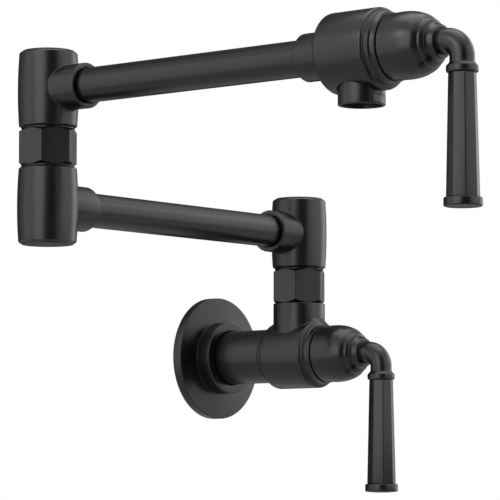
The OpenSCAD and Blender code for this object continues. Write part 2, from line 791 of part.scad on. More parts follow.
// Spout valve body: collar at the back, outlet seat below
module spout_valve_body() {
    ring_back = spout_body_back + spout_ring_len;
    color(matte_black) difference() {
        union() {
            turned(body_outline(
                spout_body_r, spout_body_back, 2.9, 5.6, spout_rim_len, spout_steps_len));
            rotate([0, 90, 0]) collar(spout_collar_out);
            turned([[0, -ring_back], [spout_ring_r - 0.2, -ring_back], [spout_ring_r, -ring_back + 0.3],
                [spout_ring_r, -ring_back + 3.2], [spout_ring_r + 0.8, -spout_body_back - 1.5],
                [spout_ring_r + 2.4, -spout_body_back - 0.1], [spout_ring_r + 2.4, -spout_body_back + 1],
                [0, -spout_body_back + 1]]);
        }
        cartridge_cuts();
        rotate([0, 90, 0]) collar_cuts(spout_collar_out, spout_tube_stop);
        bar(feed_r, -spout_tube_stop - past, chamber_floor + past);
        rotate([90, 0, 0]) {
            bar(outlet_r + outlet_gap, seat_drop, spout_body_r + past);
            bar(spigot_r + screw_fit, outlet_bore_top, spout_body_r + past);
        }
    }
}

// Aerator housing: screwed up into the spout body, with two wrench flats; local +Z points down
module aerator_housing() {
    rim = 0.7;
    color(matte_black) difference() {
        turned(concat(
            [[0, spigot_top], [spigot_r, spigot_top], [spigot_r, seat_drop],
             [outlet_r, seat_drop]],
            arc_points([outlet_r - rim, outlet_drop - rim], rim, 0, 90, 4),
            [[0, outlet_drop]]));
        bar(mouth_r, insert_top - outlet_washer_t, outlet_drop + past);
        bar(spigot_r - 3, outlet_bore_top, outlet_drop);
        for (side = [-1, 1])
            translate([-outlet_r, side * (outlet_flats / 2 + outlet_r) - outlet_r,
                outlet_drop - rim - outlet_flat_h])
                cube([2 * outlet_r, 2 * outlet_r, outlet_flat_h]);
    }
}

// Aerator insert: a disc of jets in a hexagonal pattern
module aerator_insert() {
    pitch = 2.6;
    rows = 3;
    color(white_plastic) difference() {
        bar(mouth_r - 0.05, insert_top, insert_low);
        for (q = [-rows:rows])
            for (p = [-rows:rows])
                if (abs(p + q) <= rows)
                    translate([pitch * (q + p / 2), pitch * p * sin(60), 0])
                        bar(jet_r, insert_top - past, insert_low + past);
    }
}

module aerator_washer() {
    color(rubber) ring(mouth_r - 0.05, spigot_r - 2.5, insert_top - outlet_washer_t, insert_top);
}

module outlet_place() {
    at_elbow(upper_arm_z) translate([0, -upper_arm_len, 0]) rotate([180, 0, 0]) children();
}

wall_flange();
flange_gasket();
flange_oring();
shank_sleeve();
inlet_shank();
inlet_screen();
wall_valve_body();
on_wall_axis(swivel_out) seat_seal();  // wall_seat_seal
on_wall_axis(swivel_out) fixed_disc();  // wall_fixed_disc
on_wall_axis(swivel_out) cartridge_housing();  // wall_cartridge_housing
on_wall_axis(swivel_out) retaining_nut();  // wall_retaining_nut
at_base(post_top + base_nut_gap) swivel_nut(base_nut_gap);  // base_swivel_nut
at_base(post_top) glide_washer();  // base_glide_washer

at_base(lower_arm_z) rotate(180) head_barrel();  // base_barrel
at_base(lower_arm_z + barrel_half) barrel_cap();  // base_barrel_cap
at_base(post_top) spindle(base_nut_gap);  // base_spindle
at_base(post_top) spindle_orings();  // base_spindle_orings
at_base(lower_arm_z) rotate([0, -90, 0]) arm_tube(tube_stop, lower_arm_len - tube_stop);  // lower_arm_tube
at_elbow(lower_arm_z) neck_barrel();  // elbow_lower_barrel
at_elbow(lower_arm_z - barrel_half) rotate([180, 0, 0]) barrel_cap();  // elbow_lower_cap
at_elbow(elbow_plane_z + elbow_nut_gap) swivel_nut(elbow_nut_gap);  // elbow_swivel_nut
at_elbow(elbow_plane_z) glide_washer();  // elbow_glide_washer

at_elbow(upper_arm_z) rotate(-90) head_barrel();  // elbow_upper_barrel
at_elbow(upper_arm_z + barrel_half) barrel_cap();  // elbow_upper_cap
at_elbow(elbow_plane_z) spindle(elbow_nut_gap);  // elbow_spindle
at_elbow(elbow_plane_z) spindle_orings();  // elbow_spindle_orings
on_spout_axis(0) arm_tube(tube_stop, upper_arm_len - spout_tube_stop);  // upper_arm_tube
on_spout_axis(upper_arm_len) spout_valve_body();
on_spout_axis(upper_arm_len) seat_seal();  // spout_seat_seal
on_spout_axis(upper_arm_len) fixed_disc();  // spout_fixed_disc
on_spout_axis(upper_arm_len) cartridge_housing();  // spout_cartridge_housing
on_spout_axis(upper_arm_len) retaining_nut();  // spout_retaining_nut
outlet_place() aerator_housing();
outlet_place() aerator_insert();
outlet_place() aerator_washer();

on_wall_axis(swivel_out) bell();  // wall_bell
on_wall_axis(swivel_out) stem();  // wall_stem
on_wall_axis(swivel_out) stem_oring();  // wall_stem_oring
on_wall_axis(swivel_out) moving_disc();  // wall_moving_disc
on_wall_axis(swivel_out) bell_screw();  // wall_bell_screw
on_wall_axis(swivel_out) lever_neck();  // wall_lever_neck
on_wall_axis(swivel_out) lever_rod();  // wall_lever_rod
on_wall_axis(swivel_out) lever_grip();  // wall_lever_grip
on_wall_axis(swivel_out) lever_cap();  // wall_lever_cap

on_spout_axis(upper_arm_len) bell();  // spout_bell
on_spout_axis(upper_arm_len) stem();  // spout_stem
on_spout_axis(upper_arm_len) stem_oring();  // spout_stem_oring
on_spout_axis(upper_arm_len) moving_disc();  // spout_moving_disc
on_spout_axis(upper_arm_len) bell_screw();  // spout_bell_screw
on_spout_axis(upper_arm_len) lever_neck();  // spout_lever_neck
on_spout_axis(upper_arm_len) lever_rod();  // spout_lever_rod
on_spout_axis(upper_arm_len) lever_grip();  // spout_lever_grip
on_spout_axis(upper_arm_len) lever_cap();  // spout_lever_cap
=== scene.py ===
import json
from math import cos, pi, radians, sin, sqrt, tan
import bmesh
import bpy
from mathutils import Matrix, Vector


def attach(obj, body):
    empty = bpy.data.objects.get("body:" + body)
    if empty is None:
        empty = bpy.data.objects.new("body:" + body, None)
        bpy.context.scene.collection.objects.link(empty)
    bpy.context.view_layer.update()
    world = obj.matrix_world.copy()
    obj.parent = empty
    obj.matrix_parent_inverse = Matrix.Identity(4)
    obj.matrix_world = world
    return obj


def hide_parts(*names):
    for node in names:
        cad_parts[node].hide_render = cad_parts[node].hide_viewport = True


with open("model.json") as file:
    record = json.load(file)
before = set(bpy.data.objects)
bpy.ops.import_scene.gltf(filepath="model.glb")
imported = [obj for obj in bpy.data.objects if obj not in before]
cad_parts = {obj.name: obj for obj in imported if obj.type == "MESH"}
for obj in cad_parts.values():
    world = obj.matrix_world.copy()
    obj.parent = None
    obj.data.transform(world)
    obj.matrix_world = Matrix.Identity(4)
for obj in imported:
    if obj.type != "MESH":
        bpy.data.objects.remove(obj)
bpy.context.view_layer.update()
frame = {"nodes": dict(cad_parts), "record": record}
scene = bpy.context.scene
scene.view_settings.view_transform = "Standard"

# Camera: a long lens that stands 1.8 m away, to the left of the fixture and a little below it.
# Its place, direction and lens are those of the photograph, and they need no shift.
mm = 0.001
camera_azimuth = radians(-50.543)
camera_elevation = radians(-5.026)
camera_place = Vector((-1363.96, -1152.67, -89.8))
towards_camera = Vector((
    sin(camera_azimuth) * cos(camera_elevation),
    -cos(camera_azimuth) * cos(camera_elevation),
    sin(camera_elevation),
))
lens = bpy.data.cameras.new("camera")
lens.lens = 208.9
lens.sensor_width = 36
lens.clip_end = 20
camera = bpy.data.objects.new("camera", lens)
camera.location = camera_place * mm
camera.rotation_mode = "QUATERNION"
camera.rotation_quaternion = (-towards_camera).to_track_quat("-Z", "Y")
scene.collection.objects.link(camera)
scene.camera = camera


# Wall flange: a brass disc with a raised hub, turned, hollowed at the back and coated matte black.
# It slides over the sleeve on an O-ring and presses its gasket against the wall, 74 mm across.
flange_r = 37
flange_t = 6
flange_hub_r = 21.9
flange_hub_out = 15.5
sleeve_r = 16.2
flange_bore_r = sleeve_r + 0.4
back_gap = 0.1
relief_in_r = 20.9
relief_out_r = 30
relief_deep = 3
gasket_in_r = 31.3
gasket_out_r = 35.8
gasket_deep = 1.6
oring_groove_r = sleeve_r + 2.1
oring_groove_low = 8.45
oring_groove_high = 11.05
room_ward = Vector((0, -1, 0))
wall_centre = Vector((0, 0, 0))
node_body = {
    node: body for body, members in frame["record"]["behaviour"]["bodies"].items() for node in members
}


def rounded(corners):
    """The outline through (radius, height, rounding) corners, with an arc in place of each rounded one."""
    arc_steps = 6
    outline = []
    for place, (radius, height, rounding) in enumerate(corners):
        here = Vector((radius, height))
        if rounding == 0:
            outline.append(here)
            continue
        before = (Vector(corners[place - 1][:2]) - here).normalized()
        after = (Vector(corners[(place + 1) % len(corners)][:2]) - here).normalized()
        half = before.angle(after) / 2
        centre = here + (before + after).normalized() * (rounding / sin(half))
        start = (here + before * (rounding / tan(half)) - centre).normalized()
        end = (here + after * (rounding / tan(half)) - centre).normalized()
        for step in range(arc_steps + 1):
            outline.append(centre + start.slerp(end, step / arc_steps) * rounding)
    return outline


def turned(outline, foot, along, closed=False, segments=160):
    """A mesh turned from (radius, height) points in millimetres, round the axis that starts at foot."""
    along = Vector(along).normalized()
    across = along.orthogonal().normalized()
    third = along.cross(across)
    solid = bmesh.new()
    rings = []
    for radius, height in outline:
        centre = Vector(foot) + along * height
        on_axis = radius < 0.001
        if on_axis:
            rings.append([solid.verts.new(centre * mm)])
            continue
        ring = []
        for step in range(segments):
            angle = 2 * pi * step / segments
            spoke = across * cos(angle) + third * sin(angle)
            ring.append(solid.verts.new((centre + spoke * radius) * mm))
        rings.append(ring)
    pairs = list(zip(rings, rings[1:]))
    if closed:
        pairs.append((rings[-1], rings[0]))
    for low, high in pairs:
        for step in range(segments):
            after = (step + 1) % segments
            corners = [low[step % len(low)], low[after % len(low)]]
            corners += [high[after % len(high)], high[step % len(high)]]
            solid.faces.new(list(dict.fromkeys(corners)))
    return mesh_of(solid)


def mesh_of(solid):
    """The mesh of a bmesh, with its faces turned outwards."""
    bmesh.ops.recalc_face_normals(solid, faces=solid.faces)
    mesh = bpy.data.meshes.new("shape")
    solid.to_mesh(mesh)
    solid.free()
    return mesh


def texture_on(material, kind, sizes):
    """A texture node that is fixed to the piece, with its sizes set."""
    nodes = material.node_tree.nodes
    place = nodes.new("ShaderNodeTexCoord")
    texture = nodes.new(kind)
    for name, value in sizes.items():
        texture.inputs[name].default_value = value
    material.node_tree.links.new(place.outputs["Object"], texture.inputs["Vector"])
    return texture


def drifting_material(name, shades, dullness, drift_sizes):
    """A material whose shade and dullness drift between two values each over a soft noise."""
    made = bpy.data.materials.new(name)
    made.use_nodes = True
    nodes = made.node_tree.nodes
    links = made.node_tree.links
    shader = nodes["Principled BSDF"]
    drift = texture_on(made, "ShaderNodeTexNoise", drift_sizes)
    shade = nodes.new("ShaderNodeValToRGB")
    for stop, colour in zip(shade.color_ramp.elements, shades):
        stop.color = (*colour, 1)
    links.new(drift.outputs["Fac"], shade.inputs["Fac"])
    links.new(shade.outputs["Color"], shader.inputs["Base Color"])
    dull = nodes.new("ShaderNodeMapRange")
    dull.inputs["To Min"].default_value = dullness[0]
    dull.inputs["To Max"].default_value = dullness[1]
    links.new(drift.outputs["Fac"], dull.inputs["Value"])
    links.new(dull.outputs["Result"], shader.inputs["Roughness"])
    return made


def raise_by(material, texture, strength, depth):
    """Raises a material's surface by a texture, to a depth in metres."""
    nodes = material.node_tree.nodes
    links = material.node_tree.links
    bump = nodes.new("ShaderNodeBump")
    bump.inputs["Strength"].default_value = strength
    bump.inputs["Distance"].default_value = depth
    links.new(texture.outputs["Fac"], bump.inputs["Height"])
    links.new(bump.outputs["Normal"], nodes["Principled BSDF"].inputs["Normal"])


def coat_of_black():
    """Matte black powder coat: a fine grain in the surface, and a faint drift in how dull it is."""
    shades = ((0.0020, 0.0020, 0.0021), (0.0030, 0.0030, 0.0032))
    coat = drifting_material("matte black coat", shades, (0.26, 0.31), {"Scale": 60, "Detail": 3})
    grain = texture_on(coat, "ShaderNodeTexNoise", {"Scale": 2600, "Detail": 2})
    raise_by(coat, grain, 0.12, 0.00003)
    return coat


matte_black = coat_of_black()


def fit_piece(mesh, node, material=matte_black, name="coated"):
    """Puts a finished mesh in place of a CAD node, on that node's body, with its crisp edges marked."""
    part = bpy.data.objects.new(f"{node}_{name}", mesh)
    scene.collection.objects.link(part)
    mesh.materials.clear()
    mesh.materials.append(material)
    mesh.polygons.foreach_set("use_smooth", [True] * len(mesh.polygons))
    mesh.polygons.foreach_set("material_index", [0] * len(mesh.polygons))
    mesh.set_sharp_from_angle(angle=radians(28))
    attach(part, node_body[node])
    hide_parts(node)


flange_outline = rounded([
    (flange_bore_r, back_gap, 0), (relief_in_r, back_gap, 0), (relief_in_r, relief_deep, 0.4),
    (relief_out_r, relief_deep, 0.4), (relief_out_r, back_gap, 0),
    (gasket_in_r, back_gap, 0), (gasket_in_r, gasket_deep, 0), (gasket_out_r, gasket_deep, 0),
    (gasket_out_r, back_gap, 0), (flange_r, back_gap, 0.1), (flange_r, flange_t, 0.5),
    (flange_hub_r, flange_t, 0.3), (flange_hub_r, flange_hub_out, 0.8),
    (flange_bore_r, flange_hub_out, 0.35), (flange_bore_r, oring_groove_high, 0),
    (oring_groove_r, oring_groove_high, 0), (oring_groove_r, oring_groove_low, 0),
    (flange_bore_r, oring_groove_low, 0),
])
fit_piece(turned(flange_outline, wall_centre, room_ward, closed=True, segments=256), "wall_flange")


# Gasket and O-rings: moulded black rubber with a dull, slightly dusty skin.
# They lie in turned grooves, so only their edges would show if the part were taken apart.
def finish_nodes(material, nodes):
    """Gives CAD solids, whose shape is already right, their finish."""
    for node in nodes:
        solid = frame["nodes"][node]
        solid.data.materials.clear()
        solid.data.materials.append(material)


def grained_material(name, shades, dullness, scale):
    """A material with a fine noise in its shade, its dullness and its surface."""
    noise_sizes = {"Scale": scale, "Detail": 4}
    made = drifting_material(name, shades, dullness, noise_sizes)
    raise_by(made, texture_on(made, "ShaderNodeTexNoise", noise_sizes), 0.15, 0.00002)
    return made


rubber_shades = ((0.010, 0.010, 0.010), (0.018, 0.018, 0.018))
seal_rubber = grained_material("seal rubber", rubber_shades, (0.55, 0.75), 900)
finish_nodes(seal_rubber, [
    "flange_gasket", "flange_oring", "wall_seat_seal", "spout_seat_seal", "base_spindle_orings",
    "elbow_spindle_orings", "aerator_washer", "wall_stem_oring", "spout_stem_oring",
])


# Sleeve: a thin turned tube that hides the inlet shank between the flange and the valve body.
# It ends in a raised ring between two fine grooves, where it meets the body's back.
swivel_out = 68.3
wall_body_back = 15.8
sleeve_bore_r = 13.05
sleeve_ring_r = sleeve_r + 0.1
sleeve_groove_r = sleeve_r - 0.35
sleeve_end = swivel_out - wall_body_back
sleeve_outline = rounded([
    (sleeve_bore_r, 0.2, 0), (sleeve_r, 0.2, 0.1), (sleeve_r, sleeve_end - 4.1, 0.1),
    (sleeve_groove_r, sleeve_end - 3.75, 0.15), (sleeve_groove_r, sleeve_end - 3.45, 0.15),
    (sleeve_ring_r, sleeve_end - 3.0, 0.2), (sleeve_ring_r, sleeve_end - 0.45, 0.2),
    (sleeve_groove_r, sleeve_end - 0.02, 0), (sleeve_bore_r, sleeve_end - 0.02, 0),
])
fit_piece(turned(sleeve_outline, wall_centre, room_ward, closed=True), "shank_sleeve")


# Inlet shank and the other bare metal: brass and steel bar stock, turned on a lathe and left as it is.
# The shank screws onto the pipe in the wall and into the valve body, and the sleeve covers it.
def turned_metal(name, shades, spacing):
    """Bare metal from the lathe: fine cutter rings with a little drift in shade."""
    made = drifting_material(name, shades, (0.24, 0.36), {"Scale": 500, "Detail": 4})
    made.node_tree.nodes["Principled BSDF"].inputs["Metallic"].default_value = 1.0
    cutter_rings = texture_on(made, "ShaderNodeTexWave", {"Scale": spacing, "Distortion": 0.6})
    cutter_rings.wave_type = "BANDS"
    cutter_rings.bands_direction = "DIAGONAL"
    raise_by(made, cutter_rings, 0.2, 0.00001)
    return made


bare_brass = turned_metal("turned brass", ((0.58, 0.42, 0.16), (0.68, 0.50, 0.21)), 700)
finish_nodes(bare_brass, [
    "inlet_shank", "wall_cartridge_housing", "wall_retaining_nut", "wall_stem", "base_spindle",
    "elbow_spindle", "spout_cartridge_housing", "spout_retaining_nut", "spout_stem",
])
bright_steel = turned_metal("bright steel", ((0.46, 0.47, 0.48), (0.56, 0.57, 0.58)), 900)
finish_nodes(bright_steel, [
    "inlet_screen", "wall_bell_screw", "spout_bell_screw", "wall_lever_rod", "spout_lever_rod",
])


# Wall valve body: a brass casting turned to a barrel shape, with a stepped rim at its mouth.
# Its post stands straight up and flows into the body with a small fillet, and in front with a short ramp.
wall_body_r = 20.05
body_front = 20.95
wall_rim_len = 6.6
wall_steps_len = 3.8
post_r = 15.5
post_top = 30.9
post_fillet_r = 1.3
neck_r = 12
neck_len = 9.5
tail_bore_r = 8.05
bell_r = 16.95
chamber_r = 13
chamber_floor = 0.95
nut_thread_r = 15.05
nut_thread_deep = 7.6
shank_thread_r = 13.05
shank_thread_deep = 6.5
feed_r = 5
up = Vector((0, 0, 1))
wall_valve = Vector((0, -swivel_out, 0))
# The rim steps down twice to a lip a little wider than the bell.
# The steps' places are shares of their length, and of the depth from the body down to the lip.
rim_lip = 0.5
rim_shape = [
    (0, 0), (0.055, 0.02), (0.11, 0.06), (0.16, 0.125), (0.2, 0.215), (0.23, 0.315), (0.25, 0.42),
    (0.28, 0.54), (0.33, 0.61), (0.4, 0.635), (0.6, 0.64), (0.645, 0.67), (0.695, 0.745), (0.74, 0.835),
    (0.79, 0.895), (0.87, 0.955), (1, 1),
]


def flowing(points, steps=4):
    """A smooth curve through points, with a few steps between each two."""
    curve = []
    for place in range(len(points) - 1):
        before = points[max(place - 1, 0)]
        start = points[place]
        end = points[place + 1]
        after = points[min(place + 2, len(points) - 1)]
        for step in range(steps):
            t = step / steps
            curve.append(0.5 * (
                2 * start + (end - before) * t
                + (2 * before - 5 * start + 4 * end - after) * t ** 2
                + (3 * start - before - 3 * end + after) * t ** 3))
    curve.append(points[-1])
    return curve


def body_rim(body_r, rim_len, steps_len):
    """The stepped rim of a valve body, and the flat mouth inside it down to the cartridge's chamber."""
    lip_r = bell_r + rim_lip
    steps = [
        Vector((body_r - depth * (body_r - lip_r), body_front - rim_len + share * steps_len))
        for share, depth in rim_shape
    ]
    lip = [Vector((lip_r, body_front - 0.15)), Vector((lip_r - 0.15, body_front))]
    thread_floor = body_front - nut_thread_deep
    mouth = [
        Vector((nut_thread_r, body_front)), Vector((nut_thread_r, thread_floor)),
        Vector((chamber_r, thread_floor)), Vector((chamber_r, chamber_floor)), Vector((0, chamber_floor)),
    ]
    return flowing(steps) + lip + mouth


def evaluated_mesh(thing):
    """The plain mesh that an object's modifier makes. The object is removed."""
    mesh = bpy.data.meshes.new_from_object(thing.evaluated_get(bpy.context.evaluated_depsgraph_get()))
    bpy.data.objects.remove(thing)
    return mesh


def join(base, tool, how="UNION"):
    """The mesh of base with tool joined to it, or cut from it, or what they have in common."""
    body = bpy.data.objects.new("base", base)
    cutter = bpy.data.objects.new("tool", tool)
    scene.collection.objects.link(body)
    scene.collection.objects.link(cutter)
    step = body.modifiers.new("join", "BOOLEAN")
    step.operation = how
    step.solver = "MANIFOLD"
    step.object = cutter
    result = evaluated_mesh(body)
    bpy.data.objects.remove(cutter)
    return result


def bar(radius, low, high, foot, along):
    """A plain round bar, to cut a bore or to add a neck."""
    return turned([(0, low), (radius, low), (radius, high), (0, high)], foot, along)


def rise_between(low, high, share):
    """0 below low and 1 above high, with an even change between them."""
    way = max(0.0, min(1.0, (share - low) / (high - low)))
    return way ** 2 * (3 - 2 * way)


def radius_at(outline, place):
    """A turned outline's radius at a place along its axis, between the two points round it."""
    for (low_r, low), (high_r, high) in zip(outline, outline[1:]):
        if low <= place < high:
            return low_r + (high_r - low_r) * (place - low) / (high - low)
    return outline[-1][0]


def ramp_over(arc, share, foot, branch, main, ramp):
    """A ball's arc turned by a share into a ramp, whose toe reaches farther but stays on the body."""
    top, reach, outline = ramp
    toe_sunk = 0.1
    straightness = 0.8
    steps = len(arc) - 1
    side = branch.cross(main)
    start = arc[0] + branch * (top - (arc[0] - foot).dot(branch)) * share
    along = (arc[-1] - foot).dot(main) * (1 - share) + reach * share
    beside = (arc[-1] - foot).dot(side)
    toe_rise = sqrt(radius_at(outline, along) ** 2 - beside ** 2) - toe_sunk * share
    toe = foot + main * along + side * beside + branch * toe_rise
    shift = toe - arc[-1]
    moved = [point + shift * (turn / steps) ** 2 for turn, point in enumerate(arc)]
    return [
        point.lerp(start.lerp(toe, turn / steps), straightness * share)
        for turn, point in enumerate(moved)
    ]


def fillet(foot, branch, main, branch_r, main_r, ball_at, ramp=None, segments=160):
    """The strip that a ball leaves as it rolls round a branch where it stands on a round body.

    Where the body's end is near, the strip turns into a ramp. It is given by the height of its top,
    the reach of its toe along main and the body's outline.
    """
    arc_steps = 8
    inside_r = branch_r - 1
    side = branch.cross(main)
    strip = bmesh.new()
    sections = []
    for step in range(segments):
        angle = 2 * pi * step / segments
        ball = ball_at(cos(angle))
        outward = main * cos(angle) + side * sin(angle)
        sideways = (branch_r + ball) * sin(angle)
        rise = sqrt((main_r + ball) ** 2 - sideways ** 2)
        centre = foot + outward * (branch_r + ball) + branch * rise
        to_main = -(side * sideways + branch * rise).normalized()
        inner_rise = sqrt(main_r ** 2 - (inside_r * sin(angle)) ** 2) - 1
        section = [foot + outward * inside_r + branch * inner_rise]
        arc = [centre + (-outward).slerp(to_main, turn / arc_steps) * ball for turn in range(arc_steps + 1)]
        share = rise_between(0.8, 1, cos(angle))
        if ramp and share:
            arc = ramp_over(arc, share, foot, branch, main, ramp)
        section += arc
        sections.append([strip.verts.new(point * mm) for point in section])
    for place, section in enumerate(sections):
        after = sections[(place + 1) % segments]
        for corner in range(len(section)):
            beside = (corner + 1) % len(section)
            strip.faces.new([section[corner], section[beside], after[beside], after[corner]])
    return mesh_of(strip)


def post_ball(share):
    """The fillet's radius, which dies out where the post reaches the body's rounded back."""
    straight_back = 11.5
    fade_len = 3.5
    least_r = 0.06
    faded = max(0.0, min(1.0, (-share * post_r - straight_back) / fade_len))
    return post_fillet_r * (1 - faded) + least_r


wall_body_outline = rounded([
    (0, -wall_body_back, 0), (wall_body_r, -wall_body_back, 2.0), (wall_body_r, 10, 0),
]) + body_rim(wall_body_r, wall_rim_len, wall_steps_len)
post_outline = rounded([
    (0, 6, 0), (post_r, 6, 0), (post_r, post_top, 0.5), (neck_r, post_top, 0),
    (neck_r, post_top + neck_len, 0.3), (0, post_top + neck_len, 0),
])
wall_body = turned(wall_body_outline, wall_valve, room_ward, segments=224)
post = turned(post_outline, wall_valve, up)
for bore_r, bore_floor in ((chamber_r, chamber_floor), (nut_thread_r, body_front - nut_thread_deep)):
    post = join(post, bar(bore_r, bore_floor, body_front + 6, wall_valve, room_ward), "DIFFERENCE")
wall_body = join(wall_body, post)
post_ramp = (wall_body_r + 1.95, body_front - 0.3, wall_body_outline)
wall_fillet = fillet(wall_valve, up, room_ward, post_r, wall_body_r, post_ball, post_ramp)
wall_body = join(wall_body, wall_fillet)
for bore in (
    bar(tail_bore_r, 9, post_top + 12, wall_valve, up),
    bar(feed_r, -wall_body_back, chamber_floor + 1, wall_valve, room_ward),
    bar(shank_thread_r, -wall_body_back - 1, -wall_body_back + shank_thread_deep, wall_valve, room_ward),
):
    wall_body = join(wall_body, bore, "DIFFERENCE")
fit_piece(wall_body, "wall_valve_body")


# Ceramic discs: two lapped discs a valve, fired and ivory white with a faint polish, which open and close
# the waterway. The glide washers of the swivels are moulded in white plastic, and lie under the spindles.
ceramic_shades = ((0.78, 0.76, 0.70), (0.84, 0.82, 0.77))
fired_ceramic = grained_material("fired ceramic", ceramic_shades, (0.16, 0.22), 400)
finish_nodes(fired_ceramic, ["wall_fixed_disc", "spout_fixed_disc", "wall_moving_disc", "spout_moving_disc"])
plastic_shades = ((0.78, 0.78, 0.75), (0.84, 0.84, 0.82))
moulded_white = grained_material("moulded white plastic", plastic_shades, (0.42, 0.5), 1200)
finish_nodes(moulded_white, ["base_glide_washer", "elbow_glide_washer"])


# Swivel nuts: hexagon bar with crowned ends, screwed to the neck below them.
# Each traps a spindle's shoulder, so the arm above can turn but can't lift off.
hex_r = 16.6
hex_h = 19.8
base_nut_low = post_top + 0.3
nut_ring_r = 14.6
nut_groove_r = 13.4
nut_thread_len = 13.3
spindle_hole_r = 9.05
play = 0.05
over_nut_gap = 1.1
barrel_half = 20.75
lower_arm_z = base_nut_low + hex_h + over_nut_gap + barrel_half
elbow_plane_z = lower_arm_z + barrel_half
elbow_nut_low = elbow_plane_z + 0.9
upper_arm_z = elbow_nut_low + hex_h + over_nut_gap + barrel_half
lower_arm_len = 220
base_axis = wall_valve
elbow_axis = Vector((-lower_arm_len, -swivel_out, 0))


def tree_with_inputs(name, inputs):
    """An empty node tree with a Geometry output and named inputs for its sizes."""
    tree = bpy.data.node_groups.new(name, "GeometryNodeTree")
    tree.interface.new_socket("Geometry", in_out="INPUT", socket_type="NodeSocketGeometry")
    for label, kind in inputs.items():
        tree.interface.new_socket(label, in_out="INPUT", socket_type=kind)
    tree.interface.new_socket("Geometry", in_out="OUTPUT", socket_type="NodeSocketGeometry")
    return tree, tree.nodes.new("NodeGroupInput"), tree.nodes.new("NodeGroupOutput")


def end_tree(tree, last, start, finish):
    """Realizes the instances, sets the material and ends the tree."""
    realize = tree.nodes.new("GeometryNodeRealizeInstances")
    coat = tree.nodes.new("GeometryNodeSetMaterial")
    tree.links.new(last, realize.inputs["Geometry"])
    tree.links.new(realize.outputs["Geometry"], coat.inputs["Geometry"])
    tree.links.new(start.outputs["Material"], coat.inputs["Material"])
    tree.links.new(coat.outputs["Geometry"], finish.inputs["Geometry"])


def grown(tree, sizes, path=None):
    """The plain mesh that a node tree makes with these sizes."""
    grower = bpy.data.objects.new("grower", path or bpy.data.meshes.new("seed"))
    scene.collection.objects.link(grower)
    step = grower.modifiers.new("grow", "NODES")
    step.node_group = tree
    for socket in tree.interface.items_tree:
        if socket.in_out == "INPUT" and socket.name in sizes:
            step[socket.identifier] = sizes[socket.name]
    return evaluated_mesh(grower)


def faceted_bar_tree():
    """A bar with flat sides, from a low radius to a high one. With no turn, a corner is on its X axis."""
    tree, start, finish = tree_with_inputs("faceted bar", {
        "Sides": "NodeSocketInt", "Low Radius": "NodeSocketFloat", "High Radius": "NodeSocketFloat",
        "Length": "NodeSocketFloat", "Turn": "NodeSocketFloat", "Material": "NodeSocketMaterial",
    })
    cone = tree.nodes.new("GeometryNodeMeshCone")
    tree.links.new(start.outputs["Sides"], cone.inputs["Vertices"])
    tree.links.new(start.outputs["Low Radius"], cone.inputs["Radius Bottom"])
    tree.links.new(start.outputs["High Radius"], cone.inputs["Radius Top"])
    tree.links.new(start.outputs["Length"], cone.inputs["Depth"])
    spin = tree.nodes.new("ShaderNodeCombineXYZ")
    tree.links.new(start.outputs["Turn"], spin.inputs["Z"])
    place = tree.nodes.new("GeometryNodeTransform")
    tree.links.new(cone.outputs["Mesh"], place.inputs["Geometry"])
    tree.links.new(spin.outputs["Vector"], place.inputs["Rotation"])
    end_tree(tree, place.outputs["Geometry"], start, finish)
    return tree


faceted_bar = faceted_bar_tree()


def soften(mesh, width, segments=4, limit=20):
    """The mesh with its crisp edges rounded off."""
    body = bpy.data.objects.new("soften", mesh)
    scene.collection.objects.link(body)
    step = body.modifiers.new("edge", "BEVEL")
    step.width = width * mm
    step.segments = segments
    step.limit_method = "ANGLE"
    step.angle_limit = radians(limit)
    return evaluated_mesh(body)


def swivel_nut(node, axis, low, gap):
    """One swivel nut: hexagon bar with rounded edges, crowned and bored, a gap above the piece below."""
    spare = 3
    mesh = grown(faceted_bar, {
        "Sides": 6, "Low Radius": hex_r * mm, "High Radius": hex_r * mm, "Length": (hex_h + 2 * spare) * mm,
        "Turn": radians(30), "Material": matte_black,
    })
    mesh = soften(mesh, 0.8)
    mesh.transform(Matrix.Translation((axis + up * (low - spare)) * mm))
    flat_r = hex_r * cos(radians(30))
    drop = (hex_r - flat_r) * tan(radians(30))
    foot = axis + up * low
    crown = turned(rounded([
        (0, 0, 0), (flat_r - 0.2, 0, 0.25), (hex_r + 1, drop * 1.5 + 0.45, 0),
        (hex_r + 1, hex_h - drop * 1.5 - 0.45, 0), (flat_r - 0.2, hex_h, 0.25), (0, hex_h, 0),
    ]), foot, up)
    mesh = join(mesh, crown, "INTERSECT")
    # A thin ring parts the nut from the barrel above, and where there is room another from the one below
    rings = [(hex_h - 1, hex_h + 0.5, hex_h + 0.3, hex_h + 0.78)]
    if gap > 0.6:
        rings.append((-0.35, 1, -0.75, -0.3))
    for groove_low, groove_high, ring_low, ring_high in rings:
        mesh = join(mesh, bar(nut_groove_r, groove_low, groove_high, foot, up))
        mesh = join(mesh, turned(rounded([
            (0, ring_low, 0), (nut_ring_r, ring_low, 0.08), (nut_ring_r, ring_high, 0.08), (0, ring_high, 0),
        ]), foot, up))
    mesh = join(mesh, bar(neck_r + play, -2, nut_thread_len + play - gap, foot, up), "DIFFERENCE")
    mesh = join(mesh, bar(spindle_hole_r, 0, hex_h + 1, foot, up), "DIFFERENCE")
    fit_piece(mesh, node)


swivel_nut("base_swivel_nut", base_axis, base_nut_low, 0.3)
swivel_nut("elbow_swivel_nut", elbow_axis, elbow_nut_low, 0.9)


# Swivel barrels: brass turned slightly barrel-shaped, each with a collar brazed in its side.
# Three of them are alike: one heads the base spindle, and two make the elbow.
barrel_r = 16.65
barrel_end_r = 15.9
barrel_at_collar_r = 16.5
swell_h = 39.8
cap_thread_r = 11
cap_thread_deep = 9.5
tube_r = 9.525
tube_wall = 1.5
collar_r = 12.4
collar_out = 29.5
tube_stop = 13


